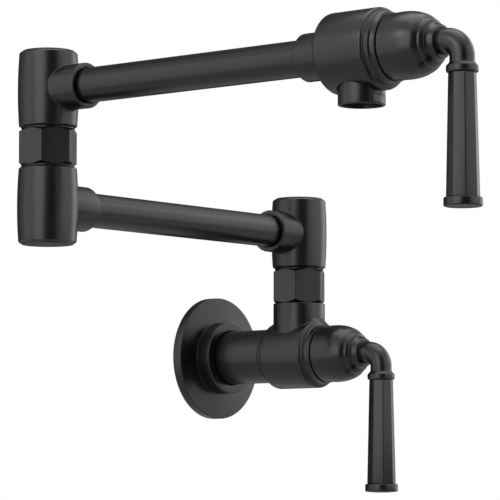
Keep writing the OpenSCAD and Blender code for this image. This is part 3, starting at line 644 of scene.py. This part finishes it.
def collar_fillet(foot, along):
    """The small fillet where a collar leaves its barrel."""
    return fillet(foot, along, up, collar_r, barrel_at_collar_r, lambda share: 1.0)


def collar_cut(mesh, foot, along, out, stop):
    """Bores a collar for its tube, with a recess at its mouth whose edge is eased."""
    recess_r = tube_r + 0.6
    flare_r = tube_r + 1.1
    bore = turned(rounded([
        (0, stop, 0), (tube_r + play, stop, 0), (tube_r + play, out - 2, 0), (recess_r, out - 2, 0),
        (recess_r, out - 0.15, 0.3), (flare_r, out + 0.5, 0), (0, out + 0.5, 0),
    ]), foot, along)
    return join(mesh, bore, "DIFFERENCE")


def barrel(node, middle, along, necked):
    """One barrel: the necked one carries a swivel nut on top, the others turn on a spindle below."""
    half_steps = 12
    swell = [
        Vector((
            barrel_end_r + (barrel_r - barrel_end_r) * (1 - (step / half_steps) ** 2),
            step / (2 * half_steps) * swell_h,
        ))
        for step in range(-half_steps, half_steps + 1)
    ]
    end_face_r = barrel_end_r - 1.0
    edge_r = barrel_end_r - 0.85
    edge_half = barrel_half - 0.05
    low_end = [Vector((0, -barrel_half)), Vector((end_face_r, -barrel_half)), Vector((edge_r, -edge_half))]
    high_end = [Vector((edge_r, edge_half)), Vector((end_face_r, barrel_half)), Vector((0, barrel_half))]
    mesh = turned(low_end + swell + high_end, middle, up, segments=192)
    collar = turned(rounded([
        (0, 2, 0), (collar_r, 2, 0), (collar_r, collar_out, 0.9), (0, collar_out, 0),
    ]), middle, along)
    mesh = join(mesh, collar)
    mesh = join(mesh, collar_fillet(middle, along))
    if necked:
        mesh = join(mesh, bar(neck_r, 0, barrel_half + neck_len, middle, up))
        bores = [
            bar(cap_thread_r, -barrel_half - 1, barrel_half - neck_len, middle, up),
            bar(tail_bore_r, 0, barrel_half + neck_len + 1, middle, up),
        ]
    else:
        bores = [
            bar(cap_thread_r, -barrel_half + cap_thread_deep, barrel_half + 1, middle, up),
            bar(spindle_hole_r, -barrel_half - 1, 0, middle, up),
        ]
    bores.append(bar(tube_r - tube_wall, 0, tube_stop + 1, middle, along))
    for bore in bores:
        mesh = join(mesh, bore, "DIFFERENCE")
    mesh = collar_cut(mesh, middle, along, collar_out, tube_stop)
    fit_piece(mesh, node)


arm_out = Vector((-1, 0, 0))
base_middle = base_axis + up * lower_arm_z
elbow_low_middle = elbow_axis + up * lower_arm_z
elbow_high_middle = elbow_axis + up * upper_arm_z
barrel("base_barrel", base_middle, arm_out, False)
barrel("elbow_lower_barrel", elbow_low_middle, -arm_out, True)
barrel("elbow_upper_barrel", elbow_high_middle, room_ward, False)


# Barrel caps: shallow domed plugs that close the barrels' open ends, screwed in on a short skirt.
# Their rounded edges leave a fine step on the barrel's end.
cap_r = 14.3
cap_t = 0.8
cap_skirt_r = 10.95
cap_skirt_len = 5


def dome_over(radius, foot, rise):
    """The outline of a shallow dome, from just inside its edge up to its middle."""
    steps = 8
    dome = []
    for step in range(1, steps + 1):
        share = 1 - step / steps
        dome.append(Vector((radius * share, foot + rise * (1 - share ** 2))))
    return dome


def barrel_cap(node, foot, along):
    """One cap, standing on the end face of its barrel."""
    skirt = [Vector((0, -cap_skirt_len)), Vector((cap_skirt_r, -cap_skirt_len)), Vector((cap_skirt_r, 0))]
    edge = rounded([(cap_r, -1, 0), (cap_r, cap_t, 0.7), (cap_r * 0.9, cap_t, 0)])[1:-1]
    outline = skirt + [Vector((cap_r, 0))] + edge + dome_over(cap_r * 0.93, cap_t, 0.1)
    fit_piece(turned(outline, foot, along), node)


barrel_cap("base_barrel_cap", base_middle + up * barrel_half, up)
barrel_cap("elbow_lower_cap", elbow_low_middle - up * barrel_half, -up)
barrel_cap("elbow_upper_cap", elbow_high_middle + up * barrel_half, up)


# Arm tubes: straight drawn brass tube, three quarters of an inch across with a 1.5 mm wall.
# Each is brazed into a collar at both ends.
def swept_bar_tree():
    """A round bar drawn along a path, whose corners are bent to a radius."""
    tree, start, finish = tree_with_inputs("swept bar", {
        "Radius": "NodeSocketFloat", "Bend Radius": "NodeSocketFloat", "Ends": "NodeSocketBool",
        "Material": "NodeSocketMaterial",
    })
    path = tree.nodes.new("GeometryNodeMeshToCurve")
    tree.links.new(start.outputs["Geometry"], path.inputs["Mesh"])
    bend = tree.nodes.new("GeometryNodeFilletCurve")
    bend.mode = "POLY"
    bend.inputs["Count"].default_value = 40
    bend.inputs["Limit Radius"].default_value = False
    tree.links.new(path.outputs["Curve"], bend.inputs["Curve"])
    tree.links.new(start.outputs["Bend Radius"], bend.inputs["Radius"])
    section = tree.nodes.new("GeometryNodeCurvePrimitiveCircle")
    section.inputs["Resolution"].default_value = 128
    tree.links.new(start.outputs["Radius"], section.inputs["Radius"])
    sweep = tree.nodes.new("GeometryNodeCurveToMesh")
    tree.links.new(bend.outputs["Curve"], sweep.inputs["Curve"])
    tree.links.new(section.outputs["Curve"], sweep.inputs["Profile Curve"])
    tree.links.new(start.outputs["Ends"], sweep.inputs["Fill Caps"])
    end_tree(tree, sweep.outputs["Mesh"], start, finish)
    return tree


swept_bar = swept_bar_tree()


def swept(radius, points, bend_radius=0.0):
    """A closed round bar along a path of points, in millimetres."""
    path = bpy.data.meshes.new("path")
    path.from_pydata([point * mm for point in points], [(i, i + 1) for i in range(len(points) - 1)], [])
    mesh = grown(swept_bar, {
        "Radius": radius * mm, "Bend Radius": bend_radius * mm, "Ends": True, "Material": matte_black,
    }, path)
    closed = bmesh.new()
    closed.from_mesh(mesh)
    bmesh.ops.remove_doubles(closed, verts=closed.verts, dist=1e-7)
    return mesh_of(closed)


def arm_tube(node, axis, along, low, high):
    """One arm tube between its two stops."""
    outside = swept(tube_r, [axis + along * low, axis + along * high])
    inside = swept(tube_r - tube_wall, [axis + along * (low - 1), axis + along * (high + 1)])
    fit_piece(join(outside, inside, "DIFFERENCE"), node)


arm_tube("lower_arm_tube", base_middle, arm_out, tube_stop + play, lower_arm_len - tube_stop - play)
upper_arm_len = 215
spout_tube_stop = 20
upper_tube_end = upper_arm_len - spout_tube_stop - play
arm_tube("upper_arm_tube", elbow_high_middle, room_ward, tube_stop + play, upper_tube_end)


# Spout valve body: like the wall valve's, with a turned ring and a tube collar at its back.
# Its underside has the seat for the aerator housing, a little wider than the housing.
spout_body_r = 20.8
spout_body_back = 17.2
spout_rim_len = 7.5
spout_steps_len = 6.2
spout_ring_r = 12.8
spout_collar_out = 34.8
shoulder_in = 5.6
shoulder_deep = 2.9
outlet_r = 12
outlet_gap = 0.5
outlet_thread_r = 10.55
outlet_thread_top = 11
seat_drop = sqrt(spout_body_r ** 2 - outlet_r ** 2) - 0.4
spout_valve = elbow_high_middle + room_ward * upper_arm_len
ring_back = spout_body_back + 6.4
shoulder = []
for step in range(13):
    round_by = step * pi / 24
    shoulder.append(Vector((
        spout_body_r - shoulder_in * (1 - sin(round_by)),
        -spout_body_back + shoulder_deep * (1 - cos(round_by)),
    )))
spout_outline = rounded([
    (0, -spout_collar_out, 0), (collar_r, -spout_collar_out, 0.9), (collar_r, -ring_back, 0),
    (spout_ring_r, -ring_back, 0.2), (spout_ring_r, -ring_back + 3.2, 0.6),
    (spout_ring_r + 0.8, -spout_body_back - 1.5, 0.5), (spout_ring_r + 2.2, -spout_body_back, 0),
]) + shoulder + body_rim(spout_body_r, spout_rim_len, spout_steps_len)
spout_body = turned(spout_outline, spout_valve, room_ward, segments=224)
spout_body = collar_cut(spout_body, spout_valve, -room_ward, spout_collar_out, spout_tube_stop)
spout_feed = bar(feed_r, -spout_tube_stop - 1, chamber_floor + 1, spout_valve, room_ward)
spout_body = join(spout_body, spout_feed, "DIFFERENCE")
seat_r = outlet_r + outlet_gap
outlet_seat = turned(rounded([
    (0, outlet_thread_top, 0), (outlet_thread_r, outlet_thread_top, 0), (outlet_thread_r, seat_drop, 0),
    (seat_r, seat_drop, 0), (seat_r, spout_body_r + 1, 0), (0, spout_body_r + 1, 0),
]), spout_valve, -up)
spout_body = join(spout_body, outlet_seat, "DIFFERENCE")
fit_piece(spout_body, "spout_valve_body")


# Aerator housing: a turned cup screwed up into the spout body, with two wrench flats.
# It holds the aerator insert a few millimetres above its mouth.
outlet_drop = 27.5
mouth_r = 10.1
insert_low = outlet_drop - 4.2
insert_washer_t = 1.1
insert_top = seat_drop + 0.6 + insert_washer_t
ledge_drop = insert_top - insert_washer_t
spigot_r = 10.5
spigot_bore_r = 7.5
spigot_top = chamber_r + 0.3
wrench_flat_out = 11
wrench_flat_low = outlet_drop - 0.7
wrench_flat_h = 4.2
housing_outline = rounded([
    (spigot_bore_r, spigot_top, 0), (spigot_r, spigot_top, 0), (spigot_r, seat_drop, 0),
    (outlet_r, seat_drop, 0), (outlet_r, outlet_drop, 0.7), (mouth_r, outlet_drop, 0.3),
    (mouth_r, ledge_drop, 0), (spigot_bore_r, ledge_drop, 0),
])
housing = turned(housing_outline, spout_valve, -up, closed=True)


def block(low, high):
    """A plain block between two corners, for a milled flat."""
    made = bmesh.new()
    bmesh.ops.create_cube(made, size=1, matrix=Matrix.LocRotScale(
        (low + high) / 2 * mm, None, (high - low) * mm))
    return mesh_of(made)


for side in (-1, 1):
    near, far = sorted(side * out for out in (wrench_flat_out, outlet_r + 2))
    low = spout_valve + Vector((-outlet_r - 1, near, -wrench_flat_low))
    high = spout_valve + Vector((outlet_r + 1, far, -wrench_flat_low + wrench_flat_h))
    housing = join(housing, block(low, high), "DIFFERENCE")
fit_piece(housing, "aerator_housing")


# Aerator insert: a moulded disc with a hexagonal pattern of jets that straightens the stream.
# It drops into the housing's mouth and is held up against a rubber washer.
def worked_out(tree, how, *values):
    """The result of one step of arithmetic in a node tree, on numbers or other nodes' results."""
    step = tree.nodes.new("ShaderNodeMath")
    step.operation = how
    for entry, value in zip(step.inputs, values):
        if isinstance(value, (int, float)):
            entry.default_value = value
        else:
            tree.links.new(value, entry)
    return step.outputs["Value"]


def jet_plate_tree():
    """A round plate pierced by rows of jets on a hexagonal pattern."""
    tree, start, finish = tree_with_inputs("jet plate", {
        "Plate Radius": "NodeSocketFloat", "Thickness": "NodeSocketFloat", "Jet Radius": "NodeSocketFloat",
        "Pitch": "NodeSocketFloat", "Material": "NodeSocketMaterial",
    })
    nodes = tree.nodes
    links = tree.links
    plate = nodes.new("GeometryNodeMeshCylinder")
    plate.inputs["Vertices"].default_value = 128
    links.new(start.outputs["Plate Radius"], plate.inputs["Radius"])
    links.new(start.outputs["Thickness"], plate.inputs["Depth"])
    # The jets are counted off from the middle one, and each row starts half a pitch after the row before
    rows = 7
    middle = rows // 2
    spots = nodes.new("GeometryNodeMeshLine")
    spots.inputs["Count"].default_value = rows * rows
    count = nodes.new("GeometryNodeInputIndex").outputs["Index"]
    rounds = worked_out(tree, "FLOOR", worked_out(tree, "DIVIDE", count, rows))
    in_row = worked_out(tree, "SUBTRACT", rounds, middle)
    row = worked_out(tree, "SUBTRACT", worked_out(tree, "MODULO", count, rows), middle)
    shifted = worked_out(tree, "MULTIPLY_ADD", row, 0.5, in_row)
    tall = worked_out(tree, "MULTIPLY", row, sin(radians(60)))
    spot = nodes.new("ShaderNodeCombineXYZ")
    links.new(worked_out(tree, "MULTIPLY", shifted, start.outputs["Pitch"]), spot.inputs["X"])
    links.new(worked_out(tree, "MULTIPLY", tall, start.outputs["Pitch"]), spot.inputs["Y"])
    placed = nodes.new("GeometryNodeSetPosition")
    links.new(spots.outputs["Mesh"], placed.inputs["Geometry"])
    links.new(spot.outputs["Vector"], placed.inputs["Position"])
    reach = worked_out(tree, "ABSOLUTE", worked_out(tree, "ADD", in_row, row))
    inside = worked_out(tree, "LESS_THAN", reach, middle + 0.5)
    jet = nodes.new("GeometryNodeMeshCylinder")
    jet.inputs["Vertices"].default_value = 24
    jet.inputs["Depth"].default_value = 0.02
    links.new(start.outputs["Jet Radius"], jet.inputs["Radius"])
    jets = nodes.new("GeometryNodeInstanceOnPoints")
    links.new(placed.outputs["Geometry"], jets.inputs["Points"])
    links.new(inside, jets.inputs["Selection"])
    links.new(jet.outputs["Mesh"], jets.inputs["Instance"])
    pierce = nodes.new("GeometryNodeMeshBoolean")
    pierce.operation = "DIFFERENCE"
    links.new(plate.outputs["Mesh"], pierce.inputs["Mesh 1"])
    links.new(jets.outputs["Instances"], pierce.inputs["Mesh 2"])
    end_tree(tree, pierce.outputs["Mesh"], start, finish)
    return tree


insert_mesh = grown(jet_plate_tree(), {
    "Plate Radius": (mouth_r - play) * mm, "Thickness": (insert_low - insert_top) * mm,
    "Jet Radius": 0.8 * mm, "Pitch": 2.6 * mm, "Material": moulded_white,
})
insert_mesh.transform(Matrix.Translation((spout_valve - up * (insert_low + insert_top) / 2) * mm))
fit_piece(insert_mesh, "aerator_insert", moulded_white, "moulded")


# Bells: the levers' domed hubs, turned with a lip, a cove and a small nose round the lever's neck.
# Each covers a cartridge, grips its stem's splines and is held by a set screw on its hidden side.
bell_gap = 0.45
bell_back = body_front + bell_gap
bell_straight = 7.4
bell_crease = 21.7
crease_r = 12.5
bell_len = 28.3
nose_r = 7.9
stem_socket_r = 4.45
stem_socket_low = 10.8
stem_socket_top = 18.3
stem_room_r = 9
hollow_r = 14.5
hollow_deep = 9
bead_seat_r = 6.95
bead_seat_deep = 1.2
spigot_hole_r = 5.05
spigot_hole_deep = 7.3
bell_screw_r = 2.05
bell_screw_at = 15
# The dome, in shares of the way to its crease and of the radius that is left over the crease's
dome_shape = [
    (0, 1), (0.15, 0.985), (0.29, 0.945), (0.425, 0.885), (0.545, 0.795), (0.65, 0.685), (0.75, 0.575),
    (0.835, 0.445), (0.9, 0.3), (0.955, 0.15), (1, 0),
]
# The cove, in shares of the way from the crease to the nose's face and of the drop to the nose's edge
cove_shape = [
    (0.01, 0.005), (0.12, 0.055), (0.21, 0.135), (0.295, 0.245), (0.365, 0.365), (0.425, 0.49),
    (0.485, 0.6), (0.545, 0.665), (0.62, 0.715), (0.73, 0.765), (0.88, 0.835), (0.955, 0.875),
    (0.99, 0.925), (1, 1),
]


def bell_outline():
    """The bell's half outline, from the bottom of its splined socket round to its spigot hole."""
    inside = rounded([
        (0, stem_socket_top, 0), (stem_socket_r, stem_socket_top, 0), (stem_socket_r, stem_socket_low, 0),
        (stem_room_r, stem_socket_low, 0), (stem_room_r, hollow_deep, 0), (hollow_r, hollow_deep, 0.5),
        (hollow_r, 0, 0), (bell_r, 0, 0.15),
    ])
    dome_len = bell_crease - bell_straight
    dome = flowing([
        Vector((crease_r + (bell_r - crease_r) * rise, bell_straight + dome_len * share))
        for share, rise in dome_shape
    ])
    cove_len = bell_len - bell_crease
    cove = flowing([
        Vector((crease_r - (crease_r - nose_r) * drop, bell_crease + cove_len * share))
        for share, drop in cove_shape
    ])
    bead_seat = bell_len - bead_seat_deep
    hole_end = bell_len - spigot_hole_deep
    hole = [
        Vector((bead_seat_r, bell_len)), Vector((bead_seat_r, bead_seat)),
        Vector((spigot_hole_r, bead_seat)), Vector((spigot_hole_r, hole_end)), Vector((0, hole_end)),
    ]
    return inside + dome + cove + hole


def bell(node, valve):
    """One bell on the axis of its valve, with the hole for its set screw."""
    foot = valve + room_ward * bell_back
    mesh = turned(bell_outline(), foot, room_ward, segments=192)
    screw_hole = bar(bell_screw_r, 3, 19, foot + room_ward * bell_screw_at, Vector((1, 0, 0)))
    fit_piece(join(mesh, screw_hole, "DIFFERENCE"), node)


bell("wall_bell", wall_valve)
bell("spout_bell", spout_valve)


# Lever necks: round bar bent square, with a flared ring turned on the end that meets the grip.
# The other end sits in the bell's nose, behind a small bead.
lever_out = 40
lever_at = bell_back + lever_out
neck_bar_r = 6.25
neck_bead_r = neck_bar_r + 0.3
bend_r = 8.8
ring_top = 12.45
ring_bottom = 16.4
ring_r = 8
flare_r = 2.4
flare_slope = radians(50)
spigot_len = 7
rod_r = 2.55


def lever_neck(node, valve):
    """One lever neck, from the spigot in the bell down to the ring above the grip."""
    nose = bell_back + bell_len
    corner = valve + room_ward * lever_at
    path = [valve + room_ward * (nose - 1.1), corner, corner - up * (ring_top - 1)]
    mesh = swept(neck_bar_r, path, bend_r)
    spigot = bar(spigot_hole_r - play, nose - spigot_len, nose, valve, room_ward)
    bead = turned(rounded([
        (0, nose - 0.5, 0), (neck_bead_r, nose - 0.5, 0.3), (neck_bead_r, nose + 0.35, 0.3),
        (0, nose + 0.35, 0),
    ]), valve, room_ward)
    # The neck flares in a hollow sweep. The ring's shoulder goes on as steep and rounds over into its side
    flare_start = ring_top - flare_r * sin(flare_slope)
    sweep = [
        Vector((neck_bar_r + flare_r - flare_r * cos(turn), flare_start + flare_r * sin(turn)))
        for turn in (step * flare_slope / 8 for step in range(9))
    ]
    side_top = ring_top + (ring_r - sweep[-1].x) / tan(flare_slope)
    ring = rounded([
        (sweep[-1].x, ring_top, 0), (ring_r, side_top, 0.9), (ring_r, ring_bottom, 0.6), (0, ring_bottom, 0),
    ])[1:]
    flared_ring = turned([Vector((0, flare_start))] + sweep + ring, corner, -up)
    for shape in (spigot, bead, flared_ring):
        mesh = join(mesh, shape)
    fit_piece(join(mesh, bar(rod_r, bend_r, ring_bottom + 1, corner, -up), "DIFFERENCE"), node)


lever_neck("wall_lever_neck", wall_valve)
lever_neck("spout_lever_neck", spout_valve)


# Lever grips: eight-sided bar that widens towards its end, held between ring and cap by a steel rod.
# The facets are milled flat and their edges are eased.
grip_bottom = 77.4
grip_top_r = 7.05
grip_bottom_r = 8.5
grip_bore_r = 2.8


def lever_grip(node, valve):
    """One grip, hanging from the neck's ring."""
    length = grip_bottom - ring_bottom
    mesh = grown(faceted_bar, {
        "Sides": 8, "Low Radius": grip_bottom_r * mm, "High Radius": grip_top_r * mm,
        "Length": length * mm, "Turn": 0.0, "Material": matte_black,
    })
    corner = valve + room_ward * lever_at
    mesh = soften(mesh, 0.35)
    mesh.transform(Matrix.Translation((corner - up * grip_bottom) * mm))
    bore = bar(grip_bore_r, ring_bottom - 1, grip_bottom + 1, corner, -up)
    fit_piece(join(mesh, bore, "DIFFERENCE"), node)


lever_grip("wall_lever_grip", wall_valve)
lever_grip("spout_lever_grip", spout_valve)


# Lever caps: turned buttons that close the grips, screwed to the rod from below.
# Both edges are rounded and the end is slightly domed.
cap_button_r = 9.6
cap_button_t = 4.6
cap_button_end_r = cap_button_r - 0.9
cap_socket_floor = 1.8


def lever_cap(node, valve):
    """One button under its grip."""
    corner = valve + room_ward * lever_at
    end = grip_bottom + cap_button_t
    edge = rounded([
        (0, grip_bottom, 0), (cap_button_r, grip_bottom, 0.8), (cap_button_r, end, 0.8),
        (cap_button_end_r, end, 0),
    ])[1:-1]
    socket_end = end - cap_socket_floor
    socket = [Vector((0, socket_end)), Vector((rod_r, socket_end)), Vector((rod_r, grip_bottom))]
    fit_piece(turned(socket + edge + dome_over(cap_button_end_r, end, 0.5), corner, -up), node)


lever_cap("wall_lever_cap", wall_valve)
lever_cap("spout_lever_cap", spout_valve)


# Studio: a pale floor well below the fixture, soft boxes above and to both sides, and dark and pale flats
# that only reflections see. The world is white to the camera and in reflections, a softer grey elsewhere.
subject = Vector((-0.11, -0.17, 0.06))
floor_z = -0.5
floor_size = 4


def toward(right_of_camera, height):
    """The direction that lies this many degrees to the right of the camera and above the horizon."""
    turn = camera_azimuth + radians(right_of_camera)
    rise = radians(height)
    return Vector((sin(turn) * cos(rise), -cos(turn) * cos(rise), sin(rise)))


def soft_box(name, right_of_camera, height, distance, width, tall, brightness, shape="RECTANGLE"):
    """A lamp aimed at the fixture. A brightness of 1 is white where it is reflected whole."""
    lamp = bpy.data.lights.new(name, "AREA")
    lamp.shape = shape
    lamp.size = width
    lamp.size_y = tall
    lamp.energy = brightness * pi * width * tall * (1 if shape == "RECTANGLE" else pi / 4)
    lit = bpy.data.objects.new(name, lamp)
    lit.location = subject + toward(right_of_camera, height) * distance
    lit.rotation_mode = "QUATERNION"
    lit.rotation_quaternion = (-toward(right_of_camera, height)).to_track_quat("-Z", "Y")
    scene.collection.objects.link(lit)


def flat(name, left, right, low, high, brightness, distance):
    """An upright card, bent round the fixture, that only reflections see. Its edges are given in degrees."""
    card = bmesh.new()
    steps = 16
    columns = []
    for step in range(steps + 1):
        level = toward(left + (right - left) * step / steps, 0) * distance
        columns.append([
            card.verts.new(subject + level + Vector((0, 0, distance * tan(radians(rise)))))
            for rise in (low, high)
        ])
    for one, beside in zip(columns, columns[1:]):
        card.faces.new([one[0], beside[0], beside[1], one[1]])
    shape = bpy.data.meshes.new(name)
    card.to_mesh(shape)
    card.free()
    glow = bpy.data.materials.new(name)
    glow.use_nodes = True
    glow.node_tree.nodes.clear()
    light = glow.node_tree.nodes.new("ShaderNodeEmission")
    light.inputs["Strength"].default_value = brightness
    end = glow.node_tree.nodes.new("ShaderNodeOutputMaterial")
    glow.node_tree.links.new(light.outputs["Emission"], end.inputs["Surface"])
    shape.materials.append(glow)
    standing = bpy.data.objects.new(name, shape)
    standing.visible_camera = False
    standing.visible_diffuse = False
    standing.visible_shadow = False
    standing.visible_transmission = False
    scene.collection.objects.link(standing)


# Degrees to the right of the camera and up, then metres away, wide and tall, then brightness
soft_box("soft box overhead", 110, 83, 2.0, 1.8, 1.8, 1.4)
soft_box("soft box left", -33, 12, 1.4, 0.85, 1.3, 1.35)
soft_box("soft box far left", -72, 12, 2.4, 1.7, 2.2, 0.35)
soft_box("soft box left hot", -51, 31, 2.1, 0.9, 0.75, 2.05, "ELLIPSE")
soft_box("soft box right", 126, 14, 2.2, 1.2, 1.7, 1.1)
soft_box("soft box front right", 74, 18, 2.4, 2.0, 1.7, 0.6)
# Degrees right of the camera from edge to edge and up from edge to edge, then brightness and metres away
flat("pale flat low on the left", -98, -46, -19, -6, 1.2, 1.6)
flat("black flat in the gap", -7, 35, 4, 40, 0.09, 2.6)
flat("black flat under the gap", -18, 36, -18, 5, 0.1, 1.5)
flat("grey flat under the left box", -45, -18, -17, -5, 0.4, 1.6)
flat("black flat low on the right", 55, 92, -17, -7, 0.25, 1.6)
flat("black flat behind left", -192, -118, -19, 57, 0.1, 1.5)
flat("grey flat behind right", 150, 168, -19, 50, 0.35, 1.5)
flat("grey flat on the left", -118, -98, -14, 50, 0.45, 2.0)


def paper_white():
    """Matte white paper for the floor."""
    paper = bpy.data.materials.new("white paper")
    paper.use_nodes = True
    shader = paper.node_tree.nodes["Principled BSDF"]
    shader.inputs["Base Color"].default_value = (0.66, 0.66, 0.66, 1)
    shader.inputs["Roughness"].default_value = 0.9
    return paper


floor_shape = bmesh.new()
bmesh.ops.create_grid(
    floor_shape, x_segments=1, y_segments=1, size=floor_size, matrix=Matrix.Translation((0, 0, floor_z)))
floor = bpy.data.objects.new("floor", mesh_of(floor_shape))
floor.data.materials.append(paper_white())
scene.collection.objects.link(floor)

world = bpy.data.worlds.new("studio")
world.use_nodes = True
scene.world = world
sky_nodes = world.node_tree.nodes
sky_links = world.node_tree.links
ray = sky_nodes.new("ShaderNodeLightPath")
seen = worked_out(world.node_tree, "MAXIMUM", ray.outputs["Is Camera Ray"], ray.outputs["Is Glossy Ray"])
seen = worked_out(world.node_tree, "MAXIMUM", seen, ray.outputs["Is Transmission Ray"])
brightness = sky_nodes.new("ShaderNodeMapRange")
brightness.inputs["To Min"].default_value = 0.45
brightness.inputs["To Max"].default_value = 1.0
sky_links.new(seen, brightness.inputs["Value"])
sky = sky_nodes["Background"]
sky.inputs["Color"].default_value = (1, 1, 1, 1)
sky_links.new(brightness.outputs["Result"], sky.inputs["Strength"])
